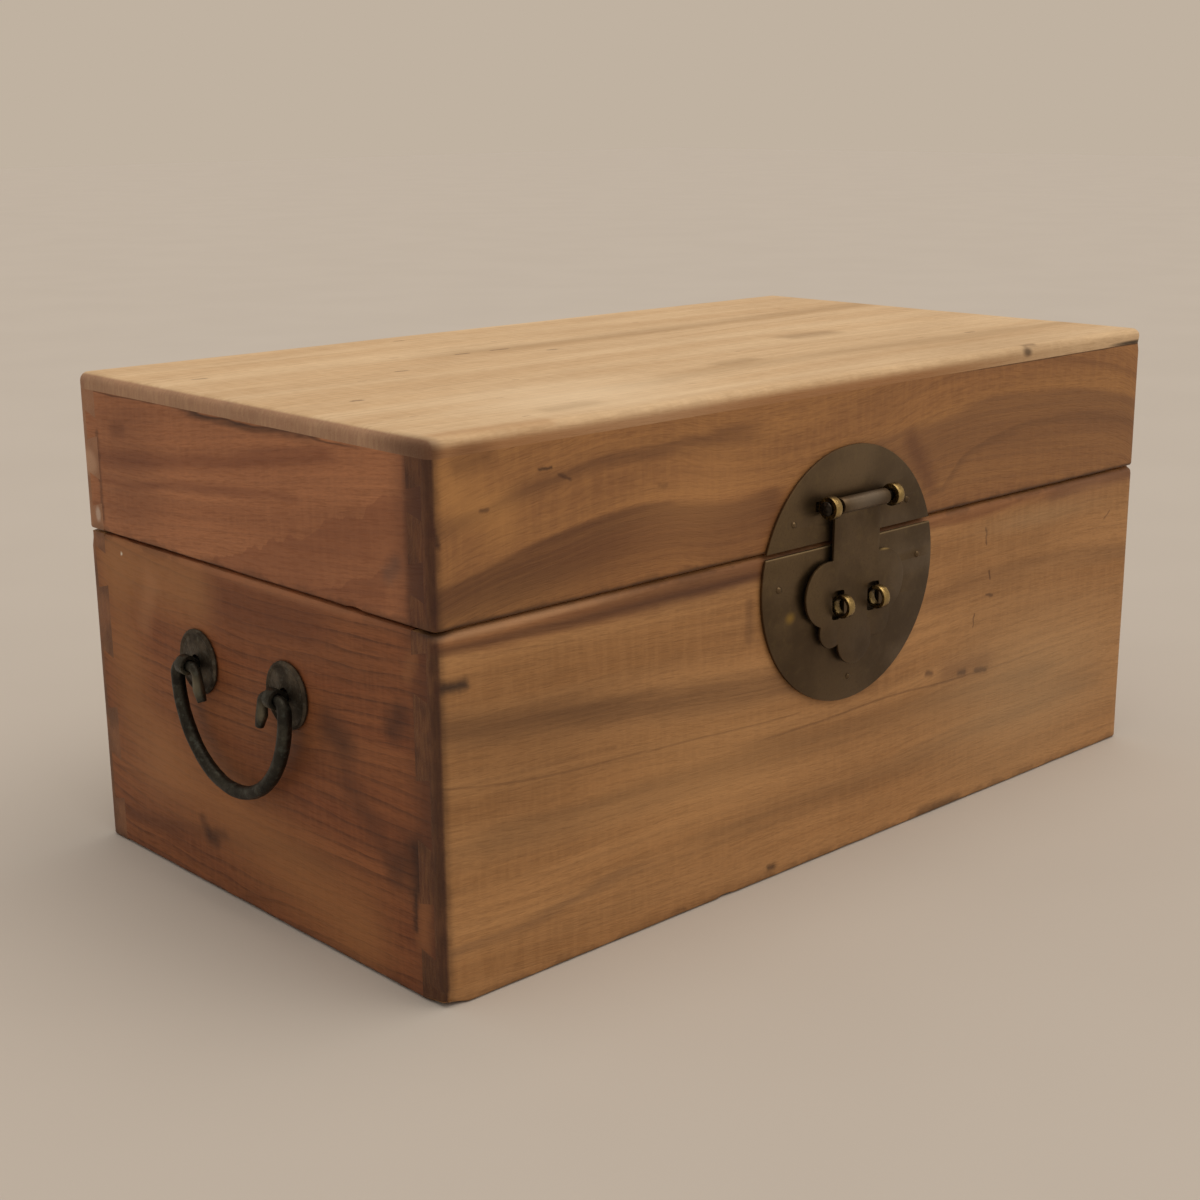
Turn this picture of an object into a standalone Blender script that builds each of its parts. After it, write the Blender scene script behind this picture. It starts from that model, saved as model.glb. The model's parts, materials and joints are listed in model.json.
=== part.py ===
"""Camphor wood trunk with a lapped-dovetail box and lid, a round split lock plate, and bail handles.

Metres, +Z up. X runs along the front, the front faces -Y, and the origin is the middle of the underside.
The lid hinges at the back, a cloud-shaped hasp hangs from the lid over two ring staples on the box, and
each end carries a bail that swings in two cotter-pin eyes.
"""

import math

import bmesh
import bpy
from mathutils import Matrix, Vector

# Box and lid
LENGTH = 0.400
DEPTH = 0.220
BASE_HEIGHT = 0.128
LID_FRAME_HEIGHT = 0.0527
SEAM_GAP = 0.0005
BOARD = 0.0125
TOP_BOARD = 0.0085
BOTTOM_BOARD = 0.010
CORNER_ROUNDING = 0.0036
TOP_EDGE_ROUNDING = 0.0035
RIM_STRIP_HEIGHT = 0.009
RIM_STRIP_BACKING = 0.0008

# Lapped dovetails, with tails on the end boards and pins on the front and back boards
LAP = 0.005
TAIL_SPLAY = 0.002

# Hand-cut tails: each one's middle and width as shares of its board's height
BASE_TAILS = ((0.205, 0.150), (0.523, 0.184), (0.885, 0.125))
LID_TAILS = ((0.30, 0.24), (0.78, 0.20))

# Clearances
FIT = 0.0003
RUNNING_FIT = 0.0003
EYE_STANDOFF = 0.0005
CUT_OVERRUN = 0.002

# Round lock plate, split at the seam, its middle below the lid's lower edge
PLATE_RADIUS = 0.050
PLATE_CENTRE_DROP = 0.015
PLATE_THICKNESS = 0.0012
LOWER_PLATE_DROP = 0.0014
PLATE_NAIL_INSET = 0.009
UPPER_NAIL_ANGLE = math.radians(36)
LOWER_NAIL_ANGLE = math.radians(1)
BOTTOM_NAIL_ANGLE = math.radians(-90)

# Dome-headed nails
NAIL_HEAD_RADIUS = 0.0015
NAIL_HEAD_HEIGHT = 0.0009
NAIL_HEAD_ARC = math.radians(60)
NAIL_SHANK_RADIUS = 0.0008
NAIL_LENGTH = 0.009
NAIL_POINT = 0.0018

# Hasp hung on a pin between two eyes, with drops measured from the pin's axis
HASP_AXIS_RISE = 0.014
HASP_WIDTH = 0.0270
HASP_THICKNESS = 0.0012
HASP_SIDE_PLAY = 0.00255
BARREL_RADIUS = 0.0031
HASP_PIN_RADIUS = 0.0018
HASP_PIN_HEAD_RADIUS = 0.0029
HASP_PIN_HEAD = 0.0015
SIDE_LOBE_X = 0.016
SIDE_LOBE_DROP = 0.034
SIDE_LOBE_RADIUS = 0.0128
SMALL_LOBE_X = 0.0135
SMALL_LOBE_DROP = 0.0485
SMALL_LOBE_RADIUS = 0.007
BOTTOM_LOBE_DROP = 0.0542
BOTTOM_LOBE_RADIUS = 0.010
SLOT_SIDE_CLEARANCE = 0.00125
SLOT_END_CLEARANCE = 0.0009
SLOT_ROUNDING = 0.0008

# Cotter-pin eyes and ring staples
COTTER_WIDTH = 0.0045
COTTER_STRIP = 0.0015
COTTER_LEG = 0.008
HASP_EYE_WALL = 0.0023
STAPLE_X = 0.0104
STAPLE_DROP = 0.039
STAPLE_PROUD = 0.0025
STAPLE_WALL = 0.0015
STAPLE_HOLE_RADIUS = 0.0031

# Bail handles, their axis below the box's rim
HANDLE_AXIS_DROP = 0.038
HANDLE_CENTRE_Y = 0.0027
HANDLE_EYE_SPACING = 0.0576
HANDLE_EYE_WALL = 0.0014
BAIL_WIRE_RADIUS = 0.00275
BAIL_HOOK_RADIUS = 0.0020
BAIL_TIP_RADIUS = 0.0013
BAIL_DROP = 0.0413
BAIL_SHOULDER = 0.004
BAIL_HOOK_INSET = 0.0075
BAIL_HOOK_BEND = 0.0035
BAIL_TIP_DROP = 0.0122
ROSETTE_RADIUS = 0.0124
ROSETTE_CROWN = 0.0016
ROSETTE_DISH = 0.0015
ROSETTE_GROOVE = 0.0010
ROSETTE_RIM = 0.0015
ROSETTE_EDGE = 0.0008
ROSETTE_BEAD = 0.0022

# Surface hinges with half-disc leaves on the back
HINGE_INSET = 0.080
LEAF_RADIUS = 0.022
LEAF_THICKNESS = 0.0012
LEAF_NAIL_INSET = 0.007
LEAF_NAIL_SWING = math.radians(52)
LEAF_NAILS = 3
KNUCKLE_RADIUS = 0.003
MIDDLE_KNUCKLE = 0.010
OUTER_KNUCKLE = 0.0095
HINGE_PIN_RADIUS = 0.0014
HINGE_PIN_END = 0.0008

# Facets of round shapes
ARC_STEPS = 20
CORNER_STEPS = 4
SLOT_STEPS = 2
BAIL_STEPS = 12
WIRE_BEND_STEPS = 4
WIRE_BEVEL_STEPS = 3
ROUND_SIDES = 20
NAIL_SIDES = 10
ROSETTE_SIDES = 32
SMOOTH_ANGLE = math.radians(35)
SQUARE_EDGE = math.radians(60)
WELD_DISTANCE = 1e-6
TURNING_MERGE = 1e-5

# Places worked out from the sizes above
HALF_LENGTH = LENGTH / 2
HALF_DEPTH = DEPTH / 2
LID_BOTTOM = BASE_HEIGHT + SEAM_GAP
LID_FRAME_TOP = LID_BOTTOM + LID_FRAME_HEIGHT
INNER_HALF_DEPTH = HALF_DEPTH - BOARD
INNER_HALF_LENGTH = HALF_LENGTH - BOARD
RIM_STRIP_DEPTH = LAP - RIM_STRIP_BACKING
CORNER_RADIUS = min(CORNER_ROUNDING, RIM_STRIP_DEPTH - 2 * FIT)
TOP_EDGE_RADIUS = min(TOP_EDGE_ROUNDING, CORNER_RADIUS - FIT / 2, TOP_BOARD - FIT)
PLATE_CENTRE_Z = LID_BOTTOM - PLATE_CENTRE_DROP
PLATE_PROUD = FIT + PLATE_THICKNESS
PLATE_FRONT = HALF_DEPTH + PLATE_PROUD
HASP_HOLE_RADIUS = HASP_PIN_RADIUS + RUNNING_FIT
HASP_EYE_RADIUS = HASP_HOLE_RADIUS + HASP_EYE_WALL
HASP_EYE_X = HASP_WIDTH / 2 + HASP_SIDE_PLAY + COTTER_WIDTH / 2
HASP_AXIS_OFF = PLATE_PROUD + EYE_STANDOFF + HASP_EYE_RADIUS
HASP_AXIS_Y = -HALF_DEPTH - HASP_AXIS_OFF
HASP_AXIS_Z = LID_BOTTOM + HASP_AXIS_RISE
HASP_BACK_OFF = HASP_AXIS_OFF - BARREL_RADIUS
STAPLE_Z = HASP_AXIS_Z - STAPLE_DROP
STAPLE_RADIUS = STAPLE_HOLE_RADIUS + STAPLE_WALL
STAPLE_OFF = HASP_BACK_OFF + HASP_THICKNESS + STAPLE_PROUD
HANDLE_HOLE_RADIUS = BAIL_HOOK_RADIUS + RUNNING_FIT
HANDLE_EYE_RADIUS = HANDLE_HOLE_RADIUS + HANDLE_EYE_WALL
HANDLE_AXIS_OFF = FIT + ROSETTE_CROWN + EYE_STANDOFF + HANDLE_EYE_RADIUS
HANDLE_AXIS_X = HALF_LENGTH + HANDLE_AXIS_OFF
HANDLE_AXIS_Z = BASE_HEIGHT - HANDLE_AXIS_DROP
BAIL_HALF_WIDTH = HANDLE_EYE_SPACING / 2 + COTTER_WIDTH / 2 + BAIL_SHOULDER
HINGE_X = HALF_LENGTH - HINGE_INSET
HINGE_AXIS_Y = HALF_DEPTH + FIT + KNUCKLE_RADIUS
HINGE_AXIS_Z = BASE_HEIGHT + SEAM_GAP / 2
LEFT = -1
RIGHT = 1

# Frames that stand a flat outline up: the front looks along -Y, the back along +Y, the ends along X
TO_FRONT = Matrix.Rotation(math.pi / 2, 4, "X")
TO_BACK = Matrix.Rotation(math.pi, 4, "Z") @ TO_FRONT
TO_RIGHT_END = Matrix.Rotation(math.pi / 2, 4, "Z") @ TO_FRONT

PARTS = None
CUTTERS = None


def material(name, red, green, blue, roughness, metallic):
    """A Principled material with a linear base colour."""
    made = bpy.data.materials.new(name)
    made.use_nodes = True
    shader = made.node_tree.nodes["Principled BSDF"]
    shader.inputs["Base Color"].default_value = (red, green, blue, 1.0)
    shader.inputs["Roughness"].default_value = roughness
    shader.inputs["Metallic"].default_value = metallic
    made.diffuse_color = (red, green, blue, 1.0)
    return made


def front_wood(name):
    """Golden camphor of the front and back boards."""
    return material(name + "_wood", 0.30, 0.16, 0.055, 0.55, 0.0)


def end_wood(name):
    """Redder camphor of the end boards."""
    return material(name + "_wood", 0.21, 0.082, 0.034, 0.55, 0.0)


def top_wood(name):
    """Pale, worn camphor of the lid's top."""
    return material(name + "_wood", 0.58, 0.40, 0.21, 0.6, 0.0)


def plate_brass(name):
    """Olive-brown aged brass sheet."""
    return material(name + "_brass", 0.085, 0.060, 0.032, 0.4, 1.0)


def ring_brass(name):
    """Handled brass of the eyes, rings and nails."""
    return material(name + "_brass", 0.40, 0.29, 0.115, 0.35, 1.0)


def dark_bronze(name):
    """Dark bronze of the handles."""
    return material(name + "_bronze", 0.045, 0.037, 0.027, 0.45, 1.0)


def add_part(name, data, finish, placement=None):
    """Put a mesh or curve in the scene as one named piece of the trunk."""
    made = bpy.data.objects.new(name, data)
    made.matrix_world = placement or Matrix.Identity(4)
    data.materials.append(finish(name))
    PARTS.objects.link(made)
    return made


def add_cutter(name, mesh, placement=None):
    """Put a mesh in the scene as a hidden tool that cuts or joins other pieces."""
    made = bpy.data.objects.new(name, mesh)
    made.matrix_world = placement or Matrix.Identity(4)
    made.hide_render = True
    made.display_type = "WIRE"
    CUTTERS.objects.link(made)
    return made


def combine(piece, tool, operation="DIFFERENCE"):
    """Cut a piece with a tool, or join the tool to it."""
    modifier = piece.modifiers.new(operation.lower() + "_" + tool.name, "BOOLEAN")
    modifier.operation = operation
    modifier.object = tool
    modifier.solver = "EXACT"


def arc(centre_u, centre_v, radius, start, end, steps):
    """Points along an arc, both ends included."""
    angles = [start + (end - start) * step / steps for step in range(steps + 1)]
    return [(centre_u + radius * math.cos(a), centre_v + radius * math.sin(a)) for a in angles]


def circle(centre_u, centre_v, radius, sides):
    """Points round a circle, without repeating the first."""
    return arc(centre_u, centre_v, radius, 0.0, 2 * math.pi * (sides - 1) / sides, sides - 1)


def rounded_rectangle(half_u, half_v, radius, steps, centre=(0.0, 0.0)):
    """Corner points of a rectangle whose four corners are arcs."""
    corners = [(1, 1, 0.0), (-1, 1, 0.5), (-1, -1, 1.0), (1, -1, 1.5)]
    points = []
    for sign_u, sign_v, turn in corners:
        corner_u = centre[0] + sign_u * (half_u - radius)
        corner_v = centre[1] + sign_v * (half_v - radius)
        points += arc(corner_u, corner_v, radius, turn * math.pi, (turn + 0.5) * math.pi, steps)
    return points


def outline_mesh(name, loops, thickness):
    """A flat plate from closed outlines, the first outside and the rest holes, centred on its own plane."""
    curve = bpy.data.curves.new(name, "CURVE")
    curve.dimensions = "2D"
    curve.fill_mode = "BOTH"
    curve.extrude = thickness / 2
    for loop in loops:
        spline = curve.splines.new("POLY")
        spline.points.add(len(loop) - 1)
        for point, (u, v) in zip(spline.points, loop):
            point.co = (u, v, 0.0, 1.0)
        spline.use_cyclic_u = True
    holder = bpy.data.objects.new(name, curve)
    PARTS.objects.link(holder)
    graph = bpy.context.evaluated_depsgraph_get()
    mesh = bpy.data.meshes.new_from_object(holder.evaluated_get(graph))
    mesh.name = name
    bpy.data.objects.remove(holder)
    bpy.data.curves.remove(curve)
    work = bmesh.new()
    work.from_mesh(mesh)
    bmesh.ops.remove_doubles(work, verts=work.verts, dist=WELD_DISTANCE)
    bmesh.ops.recalc_face_normals(work, faces=work.faces)
    work.to_mesh(mesh)
    work.free()
    mesh.set_sharp_from_angle(angle=SMOOTH_ANGLE)
    return mesh


def box_mesh(name, low, high):
    """A box between two opposite corners."""
    low = Vector(low)
    size = Vector(high) - low
    place = Matrix.Translation(low + size / 2) @ Matrix.Diagonal((*size, 1.0))
    work = bmesh.new()
    bmesh.ops.create_cube(work, size=1.0, matrix=place)
    mesh = bpy.data.meshes.new(name)
    work.to_mesh(mesh)
    work.free()
    return mesh


def rod_mesh(name, radius, length, sides):
    """A closed cylinder along X, centred on its own origin."""
    work = bmesh.new()
    along_x = Matrix.Rotation(math.pi / 2, 4, "Y")
    bmesh.ops.create_cone(
        work, cap_ends=True, segments=sides, radius1=radius, radius2=radius, depth=length, matrix=along_x
    )
    mesh = bpy.data.meshes.new(name)
    work.to_mesh(mesh)
    work.free()
    mesh.shade_smooth()
    mesh.set_sharp_from_angle(angle=SMOOTH_ANGLE)
    return mesh


def turned_mesh(name, profile, sides):
    """A turned solid about Z, from a profile that runs down its outer side, made with a Screw modifier."""
    mesh = bpy.data.meshes.new(name)
    points = [(radius, 0.0, height) for radius, height in profile]
    edges = [(index, index + 1) for index in range(len(points) - 1)]
    if profile[0][0] > 0:
        edges.append((len(points) - 1, 0))
    mesh.from_pydata(points, edges, [])
    holder = bpy.data.objects.new(name, mesh)
    PARTS.objects.link(holder)
    screw = holder.modifiers.new("turning", "SCREW")
    screw.steps = sides
    screw.render_steps = sides
    screw.use_merge_vertices = True
    screw.merge_threshold = TURNING_MERGE
    screw.use_normal_calculate = True
    graph = bpy.context.evaluated_depsgraph_get()
    made = bpy.data.meshes.new_from_object(holder.evaluated_get(graph))
    made.name = name
    bpy.data.objects.remove(holder)
    bpy.data.meshes.remove(mesh)
    work = bmesh.new()
    work.from_mesh(made)
    bmesh.ops.recalc_face_normals(work, faces=work.faces)
    work.to_mesh(made)
    work.free()
    made.shade_smooth()
    made.set_sharp_from_angle(angle=SMOOTH_ANGLE)
    return made


def tail_rows(low, high, tails):
    """Middle height, root width and tip width of each tail between two heights."""
    height = high - low
    rows = [(low + height * middle, height * width) for middle, width in tails]
    return [(middle, tip - 2 * TAIL_SPLAY, tip) for middle, tip in rows]


def tail_outline(middle, root, tip, start, reach, spread):
    """One tail seen from the end, from the board's edge outwards, grown by a spread on its sides."""
    return [
        (start, middle - root / 2 - spread),
        (reach, middle - tip / 2 - spread),
        (reach, middle + tip / 2 + spread),
        (start, middle + root / 2 + spread),
    ]


def wall_board(name, side, low, high, tails):
    """A front (-1) or back (1) board with rounded outer corners and sockets for the end boards' tails."""
    inner = INNER_HALF_DEPTH
    outline = [(-HALF_LENGTH, side * inner)]
    corner_y = side * (HALF_DEPTH - CORNER_RADIUS)
    turn = side * math.pi / 2
    corner_x = HALF_LENGTH - CORNER_RADIUS
    outline += arc(-corner_x, corner_y, CORNER_RADIUS, math.pi, math.pi - turn, CORNER_STEPS)
    outline += arc(corner_x, corner_y, CORNER_RADIUS, turn, 0.0, CORNER_STEPS)
    outline.append((HALF_LENGTH, side * inner))
    height = high - low
    mesh = outline_mesh(name, [outline], height)
    board = add_part(name, mesh, front_wood, Matrix.Translation((0.0, 0.0, low + height / 2)))
    depth = BOARD + FIT + CUT_OVERRUN
    for end in (LEFT, RIGHT):
        centre_x = end * (HALF_LENGTH + CUT_OVERRUN - depth / 2)
        for row, (middle, root, tip) in enumerate(tail_rows(low, high, tails)):
            slope = (tip - root) / 2 / (BOARD - LAP)
            overrun_root = root - 2 * slope * CUT_OVERRUN
            start = side * (inner - CUT_OVERRUN)
            reach = side * (HALF_DEPTH - LAP)
            loop = tail_outline(middle, overrun_root, tip, start, reach, FIT)
            tool_name = f"{name}_socket_{end + 1}_{row}"
            tool_mesh = outline_mesh(tool_name, [loop], depth)
            place = Matrix.Translation((centre_x, 0.0, 0.0)) @ TO_RIGHT_END
            combine(board, add_cutter(tool_name, tool_mesh, place))
    return board


def end_board(name, end, low, high, tails):
    """A left (-1) or right (1) end board with dovetail tails on its front and back edges."""
    edge = INNER_HALF_DEPTH - FIT
    reach = HALF_DEPTH - LAP - FIT
    rows = tail_rows(low, high, tails)
    outline = [(edge, low)]
    for middle, root, tip in rows:
        outline += tail_outline(middle, root, tip, edge, reach, 0.0)
    outline.append((edge, high))
    outline.append((-edge, high))
    for middle, root, tip in reversed(rows):
        outline += reversed(tail_outline(middle, root, tip, -edge, -reach, 0.0))
    outline.append((-edge, low))
    mesh = outline_mesh(name, [outline], BOARD)
    place = Matrix.Translation((end * (HALF_LENGTH - BOARD / 2), 0.0, 0.0)) @ TO_RIGHT_END
    return add_part(name, mesh, end_wood, place)


def build_base():
    """The box: four dovetailed walls, a bottom, and a strip let into the front wall's top edge."""
    front = wall_board("front_board", -1, 0.0, BASE_HEIGHT, BASE_TAILS)
    back = wall_board("back_board", 1, 0.0, BASE_HEIGHT, BASE_TAILS)
    left = end_board("left_end_board", LEFT, 0.0, BASE_HEIGHT, BASE_TAILS)
    right = end_board("right_end_board", RIGHT, 0.0, BASE_HEIGHT, BASE_TAILS)
    bottom_x = INNER_HALF_LENGTH - FIT
    bottom_y = INNER_HALF_DEPTH - FIT
    bottom = box_mesh("bottom_board", (-bottom_x, -bottom_y, 0.0), (bottom_x, bottom_y, BOTTOM_BOARD))
    add_part("bottom_board", bottom, front_wood)
    strip_low = BASE_HEIGHT - RIM_STRIP_HEIGHT
    rabbet = box_mesh(
        "rim_rabbet",
        (-HALF_LENGTH - CUT_OVERRUN, -HALF_DEPTH - CUT_OVERRUN, strip_low),
        (HALF_LENGTH + CUT_OVERRUN, -HALF_DEPTH + RIM_STRIP_DEPTH, BASE_HEIGHT + CUT_OVERRUN),
    )
    combine(front, add_cutter("rim_rabbet", rabbet))
    corner_x = HALF_LENGTH - CORNER_RADIUS
    corner_y = -HALF_DEPTH + CORNER_RADIUS
    inner = -HALF_DEPTH + RIM_STRIP_DEPTH - FIT
    outline = [(-HALF_LENGTH, inner)]
    outline += arc(-corner_x, corner_y, CORNER_RADIUS, math.pi, 1.5 * math.pi, CORNER_STEPS)
    outline += arc(corner_x, corner_y, CORNER_RADIUS, -math.pi / 2, 0.0, CORNER_STEPS)
    outline.append((HALF_LENGTH, inner))
    height = RIM_STRIP_HEIGHT - FIT
    strip = outline_mesh("front_rim_strip", [outline], height)
    place = Matrix.Translation((0.0, 0.0, BASE_HEIGHT - height / 2))
    add_part("front_rim_strip", strip, end_wood, place)
    return front, back, left, right


def build_lid():
    """The lid: four shallow dovetailed walls under a top board with a rounded edge."""
    front = wall_board("lid_front_board", -1, LID_BOTTOM, LID_FRAME_TOP, LID_TAILS)
    back = wall_board("lid_back_board", 1, LID_BOTTOM, LID_FRAME_TOP, LID_TAILS)
    left = end_board("lid_left_end_board", LEFT, LID_BOTTOM, LID_FRAME_TOP, LID_TAILS)
    right = end_board("lid_right_end_board", RIGHT, LID_BOTTOM, LID_FRAME_TOP, LID_TAILS)
    outline = rounded_rectangle(HALF_LENGTH, HALF_DEPTH, CORNER_RADIUS, CORNER_STEPS)
    mesh = outline_mesh("lid_top_board", [outline], TOP_BOARD)
    work = bmesh.new()
    work.from_mesh(mesh)
    upper = TOP_BOARD / 2 - FIT
    rim = [
        edge
        for edge in work.edges
        if all(vertex.co.z > upper for vertex in edge.verts) and edge.calc_face_angle(0.0) > SQUARE_EDGE
    ]
    bmesh.ops.bevel(
        work, geom=rim, offset=TOP_EDGE_RADIUS, segments=CORNER_STEPS, profile=0.5, affect="EDGES"
    )
    work.to_mesh(mesh)
    work.free()
    place = Matrix.Translation((0.0, 0.0, LID_FRAME_TOP + FIT + TOP_BOARD / 2))
    top = add_part("lid_top_board", mesh, top_wood, place)
    return [front, back, left, right, top]


def cotter_mesh(name, ring_off, ring_radius, hole_radius):
    """A strip bent into a ring, its two ends passed through a board and clenched flat inside.

    The outline lies outward along +u from the wood's face, and its legs spread along v behind the board.
    """
    half_shank = COTTER_STRIP
    meet = math.asin(half_shank / ring_radius)
    outline = arc(ring_off, 0.0, ring_radius, meet - math.pi, math.pi - meet, ARC_STEPS)
    inside = -BOARD - FIT
    outline += [
        (inside, half_shank),
        (inside, COTTER_LEG),
        (inside - COTTER_STRIP, COTTER_LEG),
        (inside - COTTER_STRIP, -COTTER_LEG),
        (inside, -COTTER_LEG),
        (inside, -half_shank),
    ]
    hole = circle(ring_off, 0.0, hole_radius, ROUND_SIDES)
    return outline_mesh(name, [outline, hole], COTTER_WIDTH)


def shank_hole(name, place, through):
    """A slot for a cotter's two legs, from outside every plate to past the inner face of the board."""
    half_width = COTTER_WIDTH / 2 + FIT
    half_shank = COTTER_STRIP + FIT
    low = (-BOARD - CUT_OVERRUN, -half_shank, -half_width)
    return add_cutter(name, box_mesh(name, low, (through, half_shank, half_width)), place)


def facing(origin, outward, upward):
    """A frame whose u runs outward from a face and whose v runs up it."""
    outward = Vector(outward)
    upward = Vector(upward)
    turned = Matrix((outward, upward, outward.cross(upward))).transposed().to_4x4()
    return Matrix.Translation(origin) @ turned


def nail_mesh():
    """A small nail with a domed head, pointing down Z, its head's underside at zero."""
    rim = math.cos(NAIL_HEAD_ARC)
    profile = []
    for step in range(WIRE_BEND_STEPS):
        angle = NAIL_HEAD_ARC * step / (WIRE_BEND_STEPS - 1)
        radius = NAIL_HEAD_RADIUS * math.sin(angle) / math.sin(NAIL_HEAD_ARC)
        profile.append((radius, NAIL_HEAD_HEIGHT * (math.cos(angle) - rim) / (1 - rim)))
    shoulder = NAIL_POINT - NAIL_LENGTH
    profile += [(NAIL_SHANK_RADIUS, 0.0), (NAIL_SHANK_RADIUS, shoulder), (0.0, -NAIL_LENGTH)]
    return turned_mesh("dome_nail", profile, NAIL_SIDES)


def drive_nail(name, mesh, point, outward, plate, board):
    """Drive a nail through a plate into a board, with a hole for its shank in both."""
    aim = Vector((0.0, 0.0, 1.0)).rotation_difference(Vector(outward)).to_matrix().to_4x4()
    seat = Vector(point) + Vector(outward) * FIT
    nail = bpy.data.objects.new(name, mesh)
    nail.matrix_world = Matrix.Translation(seat) @ aim
    PARTS.objects.link(nail)
    bore_length = NAIL_LENGTH + 2 * FIT + CUT_OVERRUN
    bore = rod_mesh(name + "_bore", NAIL_SHANK_RADIUS + FIT, bore_length, NAIL_SIDES)
    middle = seat + Vector(outward) * (CUT_OVERRUN - bore_length / 2)
    turn = Vector((1.0, 0.0, 0.0)).rotation_difference(Vector(outward)).to_matrix().to_4x4()
    tool = add_cutter(name + "_bore", bore, Matrix.Translation(middle) @ turn)
    combine(plate, tool)
    combine(board, tool)
    return nail


def plate_segment(name, cut, above):
    """The part of the round lock plate above or below a straight cut at a given height."""
    turn = math.asin((cut - PLATE_CENTRE_Z) / PLATE_RADIUS)
    start, end = (turn, math.pi - turn) if above else (-math.pi - turn, turn)
    outline = arc(0.0, PLATE_CENTRE_Z, PLATE_RADIUS, start, end, 2 * ARC_STEPS)
    mesh = outline_mesh(name, [outline], PLATE_THICKNESS)
    middle = -HALF_DEPTH - FIT - PLATE_THICKNESS / 2
    return add_part(name, mesh, plate_brass, Matrix.Translation((0.0, middle, 0.0)) @ TO_FRONT)


def plate_nail_seat(angle, end=1):
    """Where a nail's head meets the lock plate, at an angle from the plate's middle on one side."""
    ring = PLATE_RADIUS - PLATE_NAIL_INSET
    return (end * ring * math.cos(angle), -PLATE_FRONT, PLATE_CENTRE_Z + ring * math.sin(angle))


def meeting(first, second, lower):
    """Where two circles (u, v, radius) cross: the lower of the two points, or the one further left."""
    span = Vector((second[0] - first[0], second[1] - first[1]))
    distance = span.length
    along = (first[2] ** 2 - second[2] ** 2 + distance**2) / (2 * distance)
    across = math.sqrt(first[2] ** 2 - along**2)
    middle = Vector(first[:2]) + span * (along / distance)
    square = Vector((-span.y, span.x)) * (across / distance)
    order = (lambda point: point.y) if lower else (lambda point: point.x)
    return min(middle + square, middle - square, key=order)


def turn_to(lobe, point):
    """Direction of a point from a lobe's middle, from 0 to a full turn."""
    return math.atan2(point[1] - lobe[1], point[0] - lobe[0]) % (2 * math.pi)


def hasp_outline():
    """The strap and its cloud-shaped foot below the pin's axis: arcs of three lobes, then mirrored."""
    side = (-SIDE_LOBE_X, -SIDE_LOBE_DROP, SIDE_LOBE_RADIUS)
    small = (-SMALL_LOBE_X, -SMALL_LOBE_DROP, SMALL_LOBE_RADIUS)
    bottom = (0.0, -BOTTOM_LOBE_DROP, BOTTOM_LOBE_RADIUS)
    edge = -HASP_WIDTH / 2
    shoulder_rise = math.sqrt(SIDE_LOBE_RADIUS**2 - (edge + SIDE_LOBE_X) ** 2)
    shoulder = (edge, shoulder_rise - SIDE_LOBE_DROP)
    notch = meeting(side, small, lower=False)
    foot = meeting(small, bottom, lower=True)
    half = [(edge, 0.0)]
    half += arc(*side, turn_to(side, shoulder), turn_to(side, notch), ARC_STEPS)
    half += arc(*small, turn_to(small, notch), turn_to(small, foot), ARC_STEPS // 2)[1:]
    half += arc(*bottom, turn_to(bottom, foot), 1.5 * math.pi, ARC_STEPS // 2)[1:]
    return half + [(-u, v) for u, v in reversed(half[:-1])]


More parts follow.
